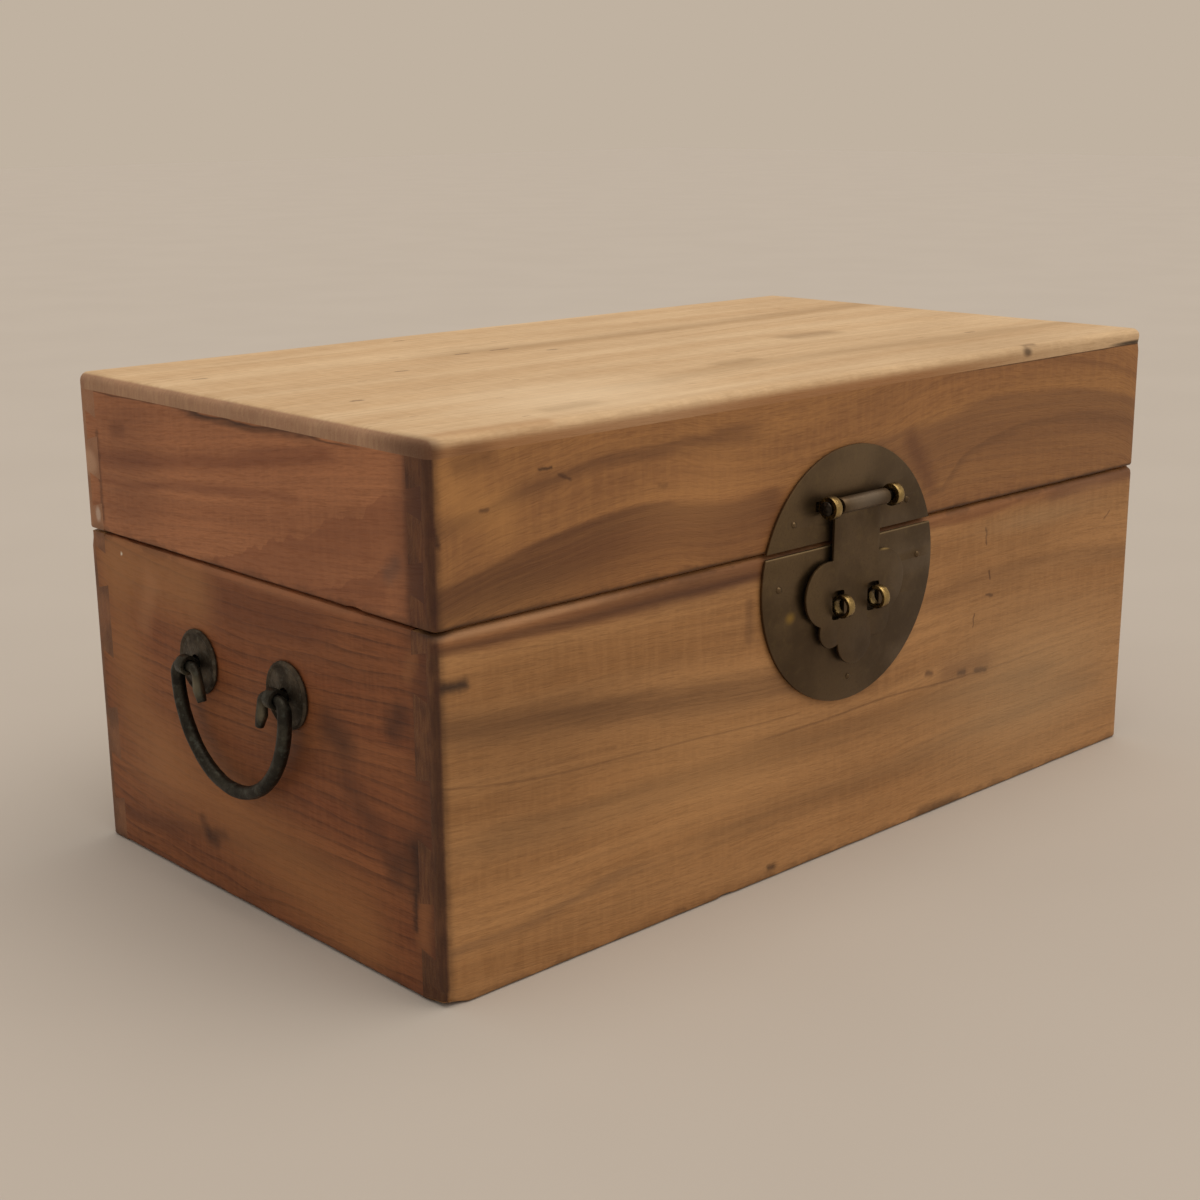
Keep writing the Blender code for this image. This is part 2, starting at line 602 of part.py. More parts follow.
def build_lock(front, lid_front, nail):
    """The split round plate, its nails, two ring staples, and the hasp on its pin between two eyes."""
    lower = plate_segment("lock_plate_lower", BASE_HEIGHT - LOWER_PLATE_DROP, above=False)
    upper = plate_segment("lock_plate_upper", LID_BOTTOM, above=True)
    forward = (0.0, -1.0, 0.0)
    up = (0.0, 0.0, 1.0)
    beyond = PLATE_PROUD + CUT_OVERRUN
    lid_pieces = [upper]
    for end, word in ((LEFT, "left"), (RIGHT, "right")):
        staple_mesh = cotter_mesh("staple_" + word, STAPLE_OFF, STAPLE_RADIUS, STAPLE_HOLE_RADIUS)
        place = facing((end * STAPLE_X, -HALF_DEPTH, STAPLE_Z), forward, up)
        add_part("staple_" + word, staple_mesh, ring_brass, place)
        hole = shank_hole(f"staple_{word}_hole", place, beyond)
        combine(lower, hole)
        combine(front, hole)
        eye_mesh = cotter_mesh("hasp_eye_" + word, HASP_AXIS_OFF, HASP_EYE_RADIUS, HASP_HOLE_RADIUS)
        place = facing((end * HASP_EYE_X, -HALF_DEPTH, HASP_AXIS_Z), forward, up)
        lid_pieces.append(add_part("hasp_eye_" + word, eye_mesh, ring_brass, place))
        hole = shank_hole(f"hasp_eye_{word}_hole", place, beyond)
        combine(upper, hole)
        combine(lid_front, hole)
        seat = plate_nail_seat(UPPER_NAIL_ANGLE, end)
        lid_pieces.append(drive_nail("lock_nail_upper_" + word, nail, seat, forward, upper, lid_front))
        seat = plate_nail_seat(LOWER_NAIL_ANGLE, end)
        drive_nail("lock_nail_lower_" + word, nail, seat, forward, lower, front)
    seat = plate_nail_seat(BOTTOM_NAIL_ANGLE)
    drive_nail("lock_nail_bottom", nail, seat, forward, lower, front)

    on_axis = Matrix.Translation((0.0, HASP_AXIS_Y, HASP_AXIS_Z))
    pin_half = HASP_EYE_X + COTTER_WIDTH / 2 + FIT
    pin_mesh = rod_mesh("hasp_pin", HASP_PIN_RADIUS, 2 * pin_half, ROUND_SIDES)
    pin = add_part("hasp_pin", pin_mesh, ring_brass, on_axis)
    dome = arc(0.0, 0.0, 1.0, math.pi / 2, 0.0, WIRE_BEND_STEPS)
    dome = [(HASP_PIN_HEAD_RADIUS * max(u, 0.0), HASP_PIN_HEAD * v) for u, v in dome]
    dome[0] = (0.0, HASP_PIN_HEAD)
    dome.append((0.0, 0.0))
    for end in (LEFT, RIGHT):
        aim = Matrix.Rotation(end * math.pi / 2, 4, "Y")
        head_place = on_axis @ Matrix.Translation((end * pin_half, 0.0, 0.0)) @ aim
        head_name = f"hasp_pin_head_{end + 1}"
        combine(pin, add_cutter(head_name, turned_mesh(head_name, dome, ROUND_SIDES), head_place), "UNION")
    lid_pieces.append(pin)

    half_slot = COTTER_WIDTH / 2 + SLOT_SIDE_CLEARANCE
    half_height = STAPLE_RADIUS + SLOT_END_CLEARANCE
    slots = [
        rounded_rectangle(half_slot, half_height, SLOT_ROUNDING, SLOT_STEPS, (end * STAPLE_X, -STAPLE_DROP))
        for end in (LEFT, RIGHT)
    ]
    sheet = outline_mesh("hasp", [hasp_outline(), *slots], HASP_THICKNESS)
    behind_axis = BARREL_RADIUS - HASP_THICKNESS / 2
    sheet.transform(Matrix.Translation((0.0, behind_axis, 0.0)) @ TO_FRONT)
    hasp = add_part("hasp", sheet, plate_brass, on_axis)
    barrel = rod_mesh("hasp_barrel", BARREL_RADIUS, HASP_WIDTH, ROUND_SIDES)
    combine(hasp, add_cutter("hasp_barrel", barrel, on_axis), "UNION")
    bore = rod_mesh("hasp_bore", HASP_HOLE_RADIUS, HASP_WIDTH + 2 * CUT_OVERRUN, ROUND_SIDES)
    combine(hasp, add_cutter("hasp_bore", bore, on_axis))
    return lid_pieces, hasp


def hinge_leaf(name, centre_x, above):
    """A half-disc leaf on the back face with its own knuckles and room for its partner's."""
    start = 0.0 if above else math.pi
    edge_gap = (SEAM_GAP / 2 + FIT) * (1 if above else -1)
    lift = math.asin(abs(edge_gap) / LEAF_RADIUS)
    outline = arc(0.0, 0.0, LEAF_RADIUS, start + lift, start + math.pi - lift, ARC_STEPS)
    mesh = outline_mesh(name, [outline], LEAF_THICKNESS)
    middle_y = HALF_DEPTH + FIT + LEAF_THICKNESS / 2
    place = Matrix.Translation((centre_x, middle_y, HINGE_AXIS_Z)) @ TO_BACK
    leaf = add_part(name, mesh, plate_brass, place)
    outer_middle = MIDDLE_KNUCKLE / 2 + FIT + OUTER_KNUCKLE / 2
    middle_knuckle = [(0.0, MIDDLE_KNUCKLE)]
    outer_knuckles = [(-outer_middle, OUTER_KNUCKLE), (outer_middle, OUTER_KNUCKLE)]
    own, other = (middle_knuckle, outer_knuckles) if above else (outer_knuckles, middle_knuckle)
    axis = Matrix.Translation((centre_x, HINGE_AXIS_Y, HINGE_AXIS_Z))
    for index, (offset, length) in enumerate(other):
        room = rod_mesh(f"{name}_room_{index}", KNUCKLE_RADIUS + FIT, length + 2 * FIT, ROUND_SIDES)
        place = axis @ Matrix.Translation((offset, 0.0, 0.0))
        combine(leaf, add_cutter(f"{name}_room_{index}", room, place))
    for index, (offset, length) in enumerate(own):
        knuckle = rod_mesh(f"{name}_knuckle_{index}", KNUCKLE_RADIUS, length, ROUND_SIDES)
        place = axis @ Matrix.Translation((offset, 0.0, 0.0))
        combine(leaf, add_cutter(f"{name}_knuckle_{index}", knuckle, place), "UNION")
        web_low = (offset - length / 2, HALF_DEPTH + FIT, min(0.0, edge_gap))
        web_high = (offset + length / 2, HALF_DEPTH + FIT + LEAF_THICKNESS, max(0.0, edge_gap))
        web = box_mesh(f"{name}_web_{index}", web_low, web_high)
        web_place = Matrix.Translation((centre_x, 0.0, HINGE_AXIS_Z))
        combine(leaf, add_cutter(f"{name}_web_{index}", web, web_place), "UNION")
    whole = MIDDLE_KNUCKLE + 2 * (OUTER_KNUCKLE + FIT)
    bore = rod_mesh(name + "_bore", HINGE_PIN_RADIUS + RUNNING_FIT, whole + 2 * CUT_OVERRUN, ROUND_SIDES)
    combine(leaf, add_cutter(name + "_bore", bore, axis))
    return leaf


def build_hinges(back, lid_back, nail):
    """Two surface hinges on the hidden back, each with two leaves, a pin and six nails."""
    backward = (0.0, 1.0, 0.0)
    face_y = HALF_DEPTH + FIT + LEAF_THICKNESS
    nail_ring = LEAF_RADIUS - LEAF_NAIL_INSET
    pin_length = MIDDLE_KNUCKLE + 2 * (OUTER_KNUCKLE + FIT + HINGE_PIN_END)
    lid_pieces = []
    for end, word in ((LEFT, "left"), (RIGHT, "right")):
        centre_x = end * HINGE_X
        lower = hinge_leaf(f"hinge_leaf_base_{word}", centre_x, above=False)
        upper = hinge_leaf(f"hinge_leaf_lid_{word}", centre_x, above=True)
        lid_pieces.append(upper)
        pin = rod_mesh(f"hinge_pin_{word}", HINGE_PIN_RADIUS, pin_length, ROUND_SIDES)
        place = Matrix.Translation((centre_x, HINGE_AXIS_Y, HINGE_AXIS_Z))
        add_part(f"hinge_pin_{word}", pin, ring_brass, place)
        for index in range(LEAF_NAILS):
            swing = (index - (LEAF_NAILS - 1) / 2) * LEAF_NAIL_SWING
            nail_x = centre_x + nail_ring * math.sin(swing)
            nail_rise = nail_ring * math.cos(swing)
            seat = (nail_x, face_y, HINGE_AXIS_Z - nail_rise)
            drive_nail(f"hinge_nail_base_{word}_{index + 1}", nail, seat, backward, lower, back)
            seat = (nail_x, face_y, HINGE_AXIS_Z + nail_rise)
            lid_nail = f"hinge_nail_lid_{word}_{index + 1}"
            lid_pieces.append(drive_nail(lid_nail, nail, seat, backward, upper, lid_back))
    return lid_pieces


def rosette_mesh(name):
    """A low domed washer with a beaded rim, turned about its own axis, open in the middle."""
    hole = math.hypot(COTTER_STRIP, COTTER_WIDTH / 2) + FIT
    bead_inside = ROSETTE_RADIUS - ROSETTE_BEAD
    bead_middle = ROSETTE_RADIUS - ROSETTE_BEAD / 2
    profile = [
        (hole, ROSETTE_CROWN),
        ((hole + bead_inside) / 2, ROSETTE_DISH),
        (bead_inside, ROSETTE_GROOVE),
        (bead_middle, ROSETTE_RIM),
        (ROSETTE_RADIUS, ROSETTE_EDGE),
        (ROSETTE_RADIUS, 0.0),
        (hole, 0.0),
    ]
    return turned_mesh(name, profile, ROSETTE_SIDES)


def bail_route():
    """Half the bail from its hooked tip to the bottom of the grip: (sideways, height, wire radius)."""
    eye = HANDLE_EYE_SPACING / 2
    tip = eye - BAIL_HOOK_INSET
    bend = BAIL_HOOK_BEND
    route = [(tip, -BAIL_TIP_DROP, BAIL_TIP_RADIUS)]
    middle_drop = (BAIL_TIP_DROP + bend) / 2
    route.append((tip, -middle_drop, (BAIL_TIP_RADIUS + BAIL_HOOK_RADIUS) / 2))
    hook = arc(tip + bend, -bend, bend, math.pi, math.pi / 2, WIRE_BEND_STEPS)
    route += [(u, v, BAIL_HOOK_RADIUS) for u, v in hook]
    shoulder_u = BAIL_HALF_WIDTH - BAIL_SHOULDER
    turn = arc(shoulder_u, -BAIL_SHOULDER, BAIL_SHOULDER, math.pi / 2, 0.0, WIRE_BEND_STEPS)
    for step, (u, v) in enumerate(turn):
        share = step / (len(turn) - 1)
        route.append((u, v, BAIL_HOOK_RADIUS + (BAIL_WIRE_RADIUS - BAIL_HOOK_RADIUS) * share))
    fall = BAIL_DROP - BAIL_SHOULDER
    for step in range(1, BAIL_STEPS + 1):
        angle = math.pi / 2 * step / BAIL_STEPS
        u = BAIL_HALF_WIDTH * math.cos(angle)
        v = -BAIL_SHOULDER - fall * math.sin(angle)
        route.append((u, v, BAIL_WIRE_RADIUS))
    return route


def bail_curve(name):
    """The whole bail as a bent wire with tapered tips, in a plane square to X, its axis at the origin."""
    half = bail_route()
    whole = half + [(-u, v, radius) for u, v, radius in reversed(half[:-1])]
    curve = bpy.data.curves.new(name, "CURVE")
    curve.dimensions = "3D"
    curve.bevel_depth = BAIL_WIRE_RADIUS
    curve.bevel_resolution = WIRE_BEVEL_STEPS
    curve.use_fill_caps = True
    spline = curve.splines.new("POLY")
    spline.points.add(len(whole) - 1)
    spline.use_smooth = True
    for point, (u, v, radius) in zip(spline.points, whole):
        point.co = (0.0, u, v, 1.0)
        point.radius = radius / BAIL_WIRE_RADIUS
    return curve


def build_handle(word, end, board):
    """One end's rosettes, eyes and bail."""
    outward = (float(end), 0.0, 0.0)
    up = (0.0, 0.0, 1.0)
    for side, where in ((-1, "front"), (1, "back")):
        eye_y = HANDLE_CENTRE_Y + side * HANDLE_EYE_SPACING / 2
        centre = Vector((end * HALF_LENGTH, eye_y, HANDLE_AXIS_Z))
        seat = Matrix.Translation(centre + Vector(outward) * FIT) @ Matrix.Rotation(end * math.pi / 2, 4, "Y")
        name = f"{word}_rosette_{where}"
        add_part(name, rosette_mesh(name), dark_bronze, seat)
        name = f"{word}_eye_{where}"
        place = facing(centre, outward, up)
        eye_mesh = cotter_mesh(name, HANDLE_AXIS_OFF, HANDLE_EYE_RADIUS, HANDLE_HOLE_RADIUS)
        add_part(name, eye_mesh, dark_bronze, place)
        combine(board, shank_hole(name + "_hole", place, CUT_OVERRUN))
    name = word + "_bail"
    axis = Matrix.Translation((end * HANDLE_AXIS_X, HANDLE_CENTRE_Y, HANDLE_AXIS_Z))
    return add_part(name, bail_curve(name), dark_bronze, axis)


def carry(name, point, pieces, parent=None):
    """Hang pieces on an empty that stands on their joint's axis."""
    axis = bpy.data.objects.new(name, None)
    axis.location = point
    axis.empty_display_size = BOARD
    PARTS.objects.link(axis)
    bpy.context.view_layer.update()
    members = pieces if parent is None else [*pieces, axis]
    for piece in members:
        holder = axis if piece is not axis else parent
        piece.parent = holder
        piece.matrix_parent_inverse = holder.matrix_world.inverted()
    return axis


def main():
    """Build the trunk at rest, closed, with its hasp down over the staples."""
    global PARTS, CUTTERS
    for old in list(bpy.data.objects):
        bpy.data.objects.remove(old)
    PARTS = bpy.data.collections.new("camphor_trunk")
    CUTTERS = bpy.data.collections.new("cutters")
    for group in (PARTS, CUTTERS):
        bpy.context.scene.collection.children.link(group)

    nail = nail_mesh()
    nail.materials.append(ring_brass("dome_nail"))
    front, back, left, right = build_base()
    lid = build_lid()
    lock_pieces, hasp = build_lock(front, lid[0], nail)
    lid += lock_pieces
    lid += build_hinges(back, lid[1], nail)
    left_bail = build_handle("left", LEFT, left)
    right_bail = build_handle("right", RIGHT, right)

    lid_axis = carry("lid_axis", (0.0, HINGE_AXIS_Y, HINGE_AXIS_Z), lid)
    carry("hasp_axis", (0.0, HASP_AXIS_Y, HASP_AXIS_Z), [hasp], lid_axis)
    carry("left_bail_axis", (-HANDLE_AXIS_X, HANDLE_CENTRE_Y, HANDLE_AXIS_Z), [left_bail])
    carry("right_bail_axis", (HANDLE_AXIS_X, HANDLE_CENTRE_Y, HANDLE_AXIS_Z), [right_bail])
    CUTTERS.hide_render = True


main()
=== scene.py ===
"""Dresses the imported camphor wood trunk: worn boards, aged brass, dark bronze, soft light and the camera.

Lengths are metres, or millimetres where a text says so. +X runs along the front to the right, -Y points
out of the front and +Z up, and the trunk stands on z = 0.
"""

import json
import logging
import math
from dataclasses import dataclass
from enum import Enum

import bmesh
import bpy
from mathutils import Matrix, Vector, noise

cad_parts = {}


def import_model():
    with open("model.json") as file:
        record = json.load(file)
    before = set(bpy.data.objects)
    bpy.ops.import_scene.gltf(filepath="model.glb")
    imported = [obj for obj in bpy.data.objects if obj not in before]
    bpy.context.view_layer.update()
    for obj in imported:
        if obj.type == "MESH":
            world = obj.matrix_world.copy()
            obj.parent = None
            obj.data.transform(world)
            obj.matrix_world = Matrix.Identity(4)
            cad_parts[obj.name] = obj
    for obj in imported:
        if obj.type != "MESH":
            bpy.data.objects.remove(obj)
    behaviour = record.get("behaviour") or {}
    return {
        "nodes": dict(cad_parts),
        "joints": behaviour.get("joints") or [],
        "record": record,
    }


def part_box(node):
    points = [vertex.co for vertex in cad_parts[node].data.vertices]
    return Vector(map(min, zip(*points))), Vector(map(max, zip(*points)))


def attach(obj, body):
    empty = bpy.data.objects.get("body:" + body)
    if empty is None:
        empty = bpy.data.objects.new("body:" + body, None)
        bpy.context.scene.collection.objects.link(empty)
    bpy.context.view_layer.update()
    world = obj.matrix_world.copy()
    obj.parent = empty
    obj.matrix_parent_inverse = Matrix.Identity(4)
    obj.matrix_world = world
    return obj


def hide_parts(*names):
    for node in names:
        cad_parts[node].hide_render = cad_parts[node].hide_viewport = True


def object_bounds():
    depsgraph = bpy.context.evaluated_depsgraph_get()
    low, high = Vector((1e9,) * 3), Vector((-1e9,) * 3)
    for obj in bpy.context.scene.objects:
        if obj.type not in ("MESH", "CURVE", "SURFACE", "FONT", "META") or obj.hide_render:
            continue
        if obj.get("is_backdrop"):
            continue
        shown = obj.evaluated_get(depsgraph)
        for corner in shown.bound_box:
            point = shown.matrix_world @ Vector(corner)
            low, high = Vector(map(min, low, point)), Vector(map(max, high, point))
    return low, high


LOG = logging.getLogger("trunk")
MM = 0.001
# Angles in degrees above which an edge of wood or of metal shows as an edge
BOARD_CREASE = 38.0
METAL_CREASE = 24.0
# Angle in degrees within which two CAD faces are one flat face
FLAT_ANGLE = 0.4
# Distances in metres within which points of the CAD model, and points of a cut, are one point
CAD_WELD = 2e-6
CUT_WELD = 1e-6
Point = tuple[float, float]
Triple = tuple[float, float, float]
Socket = bpy.types.NodeSocket
Tree = bpy.types.NodeTree


def linear(colour: str) -> tuple[float, float, float, float]:
    """Turn an sRGB hex colour into linear light.

    Args:
        colour: The colour as #RRGGBB.

    Returns:
        Linear red, green, blue and an alpha of one.
    """
    parts = [int(colour[start : start + 2], 16) / 255 for start in (1, 3, 5)]
    red, green, blue = (p / 12.92 if p <= 0.04045 else ((p + 0.055) / 1.055) ** 2.4 for p in parts)
    return red, green, blue, 1.0


def add_node(
    tree: Tree, kind: str, links: dict | None = None, output: int | str = 0, **settings: object
) -> Socket | None:
    """Add a node with its settings and links.

    Args:
        tree: The node tree to add to.
        kind: Blender's name of the node type.
        links: For each input, by index or identifier, the socket to link or the value to set.
        output: Index or identifier of the output to give back.
        settings: Properties of the node itself.

    Returns:
        The chosen output socket, or None where the node has no outputs.
    """
    node = tree.nodes.new(kind)
    for name, value in settings.items():
        setattr(node, name, value)
    for key, value in (links or {}).items():
        by_index = isinstance(key, int)
        socket = node.inputs[key] if by_index else next(s for s in node.inputs if s.identifier == key)
        if isinstance(value, Socket):
            tree.links.new(value, socket)
        else:
            socket.default_value = value
    if not node.outputs:
        return None
    if isinstance(output, int):
        return node.outputs[output]
    return next(s for s in node.outputs if s.identifier == output)


def crease_edges(shape: bmesh.types.BMesh, crease: float) -> None:
    """Shade a mesh smoothly, apart from its real edges.

    Args:
        shape: The mesh.
        crease: Angle in degrees above which an edge shows as an edge.
    """
    shape.normal_update()
    for face in shape.faces:
        face.smooth = True
    for edge in shape.edges:
        edge.smooth = len(edge.link_faces) == 2 and edge.calc_face_angle() < math.radians(crease)


def new_object(name: str, data: bpy.types.ID) -> bpy.types.Object:
    """Put a new object into the scene.

    Args:
        name: Its name.
        data: Its mesh, light or camera.

    Returns:
        The object.
    """
    thing = bpy.data.objects.new(name, data)
    bpy.context.scene.collection.objects.link(thing)
    return thing


def finished_mesh(thing: bpy.types.Object) -> bpy.types.Mesh:
    """Give the plain mesh that an object's modifiers make, and take the modifiers off.

    Args:
        thing: The object.

    Returns:
        The mesh.
    """
    mesh = bpy.data.meshes.new_from_object(thing.evaluated_get(bpy.context.evaluated_depsgraph_get()))
    thing.modifiers.clear()
    return mesh


def new_material(name: str) -> bpy.types.Material:
    """Start a material made of nodes."""
    material = bpy.data.materials.new(name)
    material.use_nodes = True
    return material


def new_group(name: str, kind: str, inputs: dict[str, str], output: str, output_kind: str) -> Tree:
    """Start a node group.

    Args:
        name: Its name.
        kind: Blender's name of the tree type.
        inputs: The kind of socket for the name of each input.
        output: Name of its output.
        output_kind: The kind of socket of its output.

    Returns:
        The group, with no nodes yet.
    """
    group = bpy.data.node_groups.new(name, kind)
    for word, socket in inputs.items():
        group.interface.new_socket(word, in_out="INPUT", socket_type=f"NodeSocket{socket}")
    group.interface.new_socket(output, in_out="OUTPUT", socket_type=f"NodeSocket{output_kind}")
    return group


def shaded_point(tree: Tree) -> tuple[Socket, Socket]:
    """Add nodes that say where a shaded point lies on its object.

    Args:
        tree: The material's node tree.

    Returns:
        The point in millimetres, and the normal there.
    """
    coordinates = add_node(tree, "ShaderNodeTexCoord", output="Object")
    scaled = {0: coordinates, "Scale": 1.0 / MM}
    point = add_node(tree, "ShaderNodeVectorMath", scaled, operation="SCALE")
    return point, coordinates.node.outputs["Normal"]


class PackedTrunk:
    """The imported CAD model, with the body and the material slot of each of its nodes."""

    def __init__(self) -> None:
        """Load the frame and note its box."""
        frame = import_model()
        self.cad_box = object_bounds()
        self.nodes: dict[str, bpy.types.Object] = frame["nodes"]
        record = frame["record"]
        bodies = record["behaviour"]["bodies"]
        self.body_of = {node: body for body, members in bodies.items() for node in members}
        self.slot_of = {part["node"]: part["material_slot"] for part in record["subparts"]}
        self.joint_point = {joint["name"]: Vector(joint["pos_m"]) for joint in frame["joints"]}

    def middles(self, prefix: str) -> tuple[float, ...]:
        """Give the middle along X of each node whose name starts with a prefix."""
        boxes = [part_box(node) for node in self.nodes if node.startswith(prefix)]
        return tuple((low[0] + high[0]) / 2 for low, high in boxes)

    def merged_copy(self, node: str, cuts: tuple[float, ...] = ()) -> bmesh.types.BMesh:
        """Copy a node's loose triangles into one closed mesh with flat faces.

        Args:
            node: Name of the CAD node.
            cuts: Places along X where faces are parted through their holes, so that none has a hole in it.

        Returns:
            The mesh, for the caller to shape and free.
        """
        shape = bmesh.new()
        shape.from_mesh(self.nodes[node].data)
        bmesh.ops.remove_doubles(shape, verts=shape.verts, dist=CAD_WELD)
        for place in cuts:
            everything = shape.verts[:] + shape.edges[:] + shape.faces[:]
            spot, sideways = (place, 0.0, 0.0), (1.0, 0.0, 0.0)
            parted = bmesh.ops.bisect_plane(
                shape, geom=everything, dist=CUT_WELD, plane_co=spot, plane_no=sideways
            )
            for item in parted["geom_cut"]:
                if isinstance(item, bmesh.types.BMEdge):
                    item.seam = True
        flat = math.radians(FLAT_ANGLE)
        bmesh.ops.dissolve_limit(
            shape, angle_limit=flat, verts=shape.verts, edges=shape.edges, delimit={"SEAM"}
        )
        return shape

    def stand_for(
        self, node: str, shape: bmesh.types.BMesh, finish: bpy.types.Material, word: str, crease: float
    ) -> bpy.types.Object:
        """Turn a shaped mesh into the piece that stands for a node.

        Args:
            node: Name of the CAD node.
            shape: The shaped mesh, freed here.
            finish: The piece's material.
            word: The word for its material in the piece's name.
            crease: Angle in degrees above which an edge shows as an edge.

        Returns:
            The new object.
        """
        mesh = bpy.data.meshes.new(f"{node}_{word}")
        crease_edges(shape, crease)
        shape.to_mesh(mesh)
        shape.free()
        mesh.materials.clear()
        mesh.materials.append(finish)
        piece = new_object(mesh.name, mesh)
        self.place(piece, self.body_of[node], self.slot_of[node], node)
        return piece

    def place(self, piece: bpy.types.Object, body: str, slot: str, *nodes: str) -> None:
        """Let a piece ride on a body.

        Args:
            piece: The piece.
            body: Name of the body it moves with.
            slot: Name of the record's material slot; not used.
            nodes: The CAD nodes that it stands for.
        """
        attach(piece, body)
        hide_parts(*nodes)
        LOG.info("%s rides on %s, %d faces", piece.name, body, len(piece.data.polygons))

    def keep(self, node: str, finish: bpy.types.Material) -> None:
        """Give a CAD node whose shape is right its finish.

        Args:
            node: Name of the CAD node.
            finish: Its material.
        """
        for slot in self.nodes[node].material_slots:
            slot.material = finish
        LOG.info("%s keeps its CAD shape", node)


class Grain(Enum):
    """How a board lies: the axes along its grain, across it on the outer face, and through the board."""

    FRONT = "XZY"
    END = "YZX"
    TOP = "XYZ"

    def spot(self, along: float, across: float, through: float) -> Vector:
        """Give the point at three lengths along, across and through a board."""
        lengths = dict(zip(self.value, (along, across, through)))
        return Vector((lengths["X"], lengths["Y"], lengths["Z"]))


@dataclass(frozen=True)
class Streak:
    """A band of colour that follows the grain on a board's outer face, in millimetres.

    The path gives points along and across the grain. The tone fades out above and below it.
    """

    path: tuple[Point, ...]
    above: float
    below: float
    tone: str
    strength: float
    taper: float = 12.0
    ragged: float = 1.0
    toothed: bool = False


@dataclass(frozen=True)
class Mark:
    """A short soft stroke on a board's outer face: a knot, a dent, a stain or a scratch, in millimetres."""

    start: Point
    end: Point
    width: float
    tone: str
    strength: float


@dataclass(frozen=True)
class GrainPlace:
    """Sockets that say where a shaded point lies on its board, in millimetres."""

    point: Socket
    along: Socket
    across: Socket
    through: Socket
    grain: Socket
    waver: Socket
    teeth: Socket
    normal: Socket


def soft_stroke() -> Tree:
    """Make the node group that masks a soft stroke between two points.

    Returns:
        The group, with inputs Point, Start, End and Width and the output Mask.
    """
    inputs = {"Point": "Vector", "Start": "Vector", "End": "Vector", "Width": "Float"}
    group = new_group("soft_stroke", "ShaderNodeTree", inputs, "Mask", "Float")
    given = add_node(group, "NodeGroupInput").node.outputs
    point, start, end, width = (given[name] for name in inputs)
    reach = add_node(group, "ShaderNodeVectorMath", {0: point, 1: start}, operation="SUBTRACT")
    length = add_node(group, "ShaderNodeVectorMath", {0: end, 1: start}, operation="SUBTRACT")
    dot = add_node(group, "ShaderNodeVectorMath", {0: reach, 1: length}, "Value", operation="DOT_PRODUCT")
    squared = {0: length, 1: length}
    square = add_node(group, "ShaderNodeVectorMath", squared, "Value", operation="DOT_PRODUCT")
    share = add_node(group, "ShaderNodeMath", {0: dot, 1: square}, operation="DIVIDE", use_clamp=True)
    foot = add_node(group, "ShaderNodeVectorMath", {0: length, "Scale": share}, operation="SCALE")
    away = add_node(group, "ShaderNodeVectorMath", {0: reach, 1: foot}, "Value", operation="DISTANCE")
    fade = {"Value": away, "From Max": width, "To Min": 1.0, "To Max": 0.0}
    mask = add_node(group, "ShaderNodeMapRange", fade, interpolation_type="SMOOTHSTEP")
    add_node(group, "NodeGroupOutput", {0: mask})
    return group


def path_height(tree: Tree, along: Socket, path: tuple[Point, ...]) -> Socket:
    """Add nodes that give the height of a drawn path at each place along a board.

    Args:
        tree: The material's node tree.
        along: Place along the board in millimetres.
        path: Points of the path, along and across, from the lowest place to the highest.

    Returns:
        The path's height in millimetres.
    """
    first, last = path[0][0], path[-1][0]
    low = min(height for _, height in path) - 1.0
    high = max(height for _, height in path) + 1.0
    share = add_node(tree, "ShaderNodeMapRange", {"Value": along, "From Min": first, "From Max": last})
    curve = add_node(tree, "ShaderNodeFloatCurve", {"Value": share})
    points = curve.node.mapping.curves[0].points
    while len(points) < len(path):
        points.new(0.5, 0.5)
    for point, (length, height) in zip(points, path):
        point.location = ((length - first) / (last - first), (height - low) / (high - low))
    curve.node.mapping.update()
    return add_node(tree, "ShaderNodeMapRange", {"Value": curve, "To Min": low, "To Max": high})


@dataclass(frozen=True)
class Figure:
    """A layer of natural figure, such as bands, pores, patina or scratches.

    It holds the size of a blotch along three axes in millimetres, the noise levels where the layer starts
    and where it is full, and the octaves of finer figure.
    """

    size: Triple
    low: float
    high: float
    detail: float = 2.0

    def mask(self, tree: Tree, point: Socket) -> Socket:
        """Add the layer to a material.

        Args:
            tree: The material's node tree.
            point: The place in millimetres.

        Returns:
            The layer as a mask from zero to one.
        """
        scale = tuple(1.0 / length for length in self.size)
        scaled = add_node(tree, "ShaderNodeVectorMath", {0: point, 1: scale}, operation="MULTIPLY")
        level = {"Vector": scaled, "Scale": 1.0, "Detail": self.detail}
        level = add_node(tree, "ShaderNodeTexNoise", level)
        span = {"Value": level, "From Min": self.low, "From Max": self.high}
        return add_node(tree, "ShaderNodeMapRange", span, interpolation_type="SMOOTHSTEP")


def tint(tree: Tree, colour: Socket, tone: str, mask: Socket, strength: float) -> Socket:
    """Lay a tone over a colour by a mask.

    Args:
        tree: The material's node tree.
        colour: The colour below.
        tone: The sRGB tone to lay over it.
        mask: Where it lies, from zero to one.
        strength: How much of it covers where the mask is full.

    Returns:
        The mixed colour.
    """
    cover = add_node(tree, "ShaderNodeMath", {0: mask, 1: strength}, operation="MULTIPLY")
    layers = {"Factor_Float": cover, "A_Color": colour, "B_Color": linear(tone)}
    return add_node(tree, "ShaderNodeMix", layers, "Result_Color", data_type="RGBA")


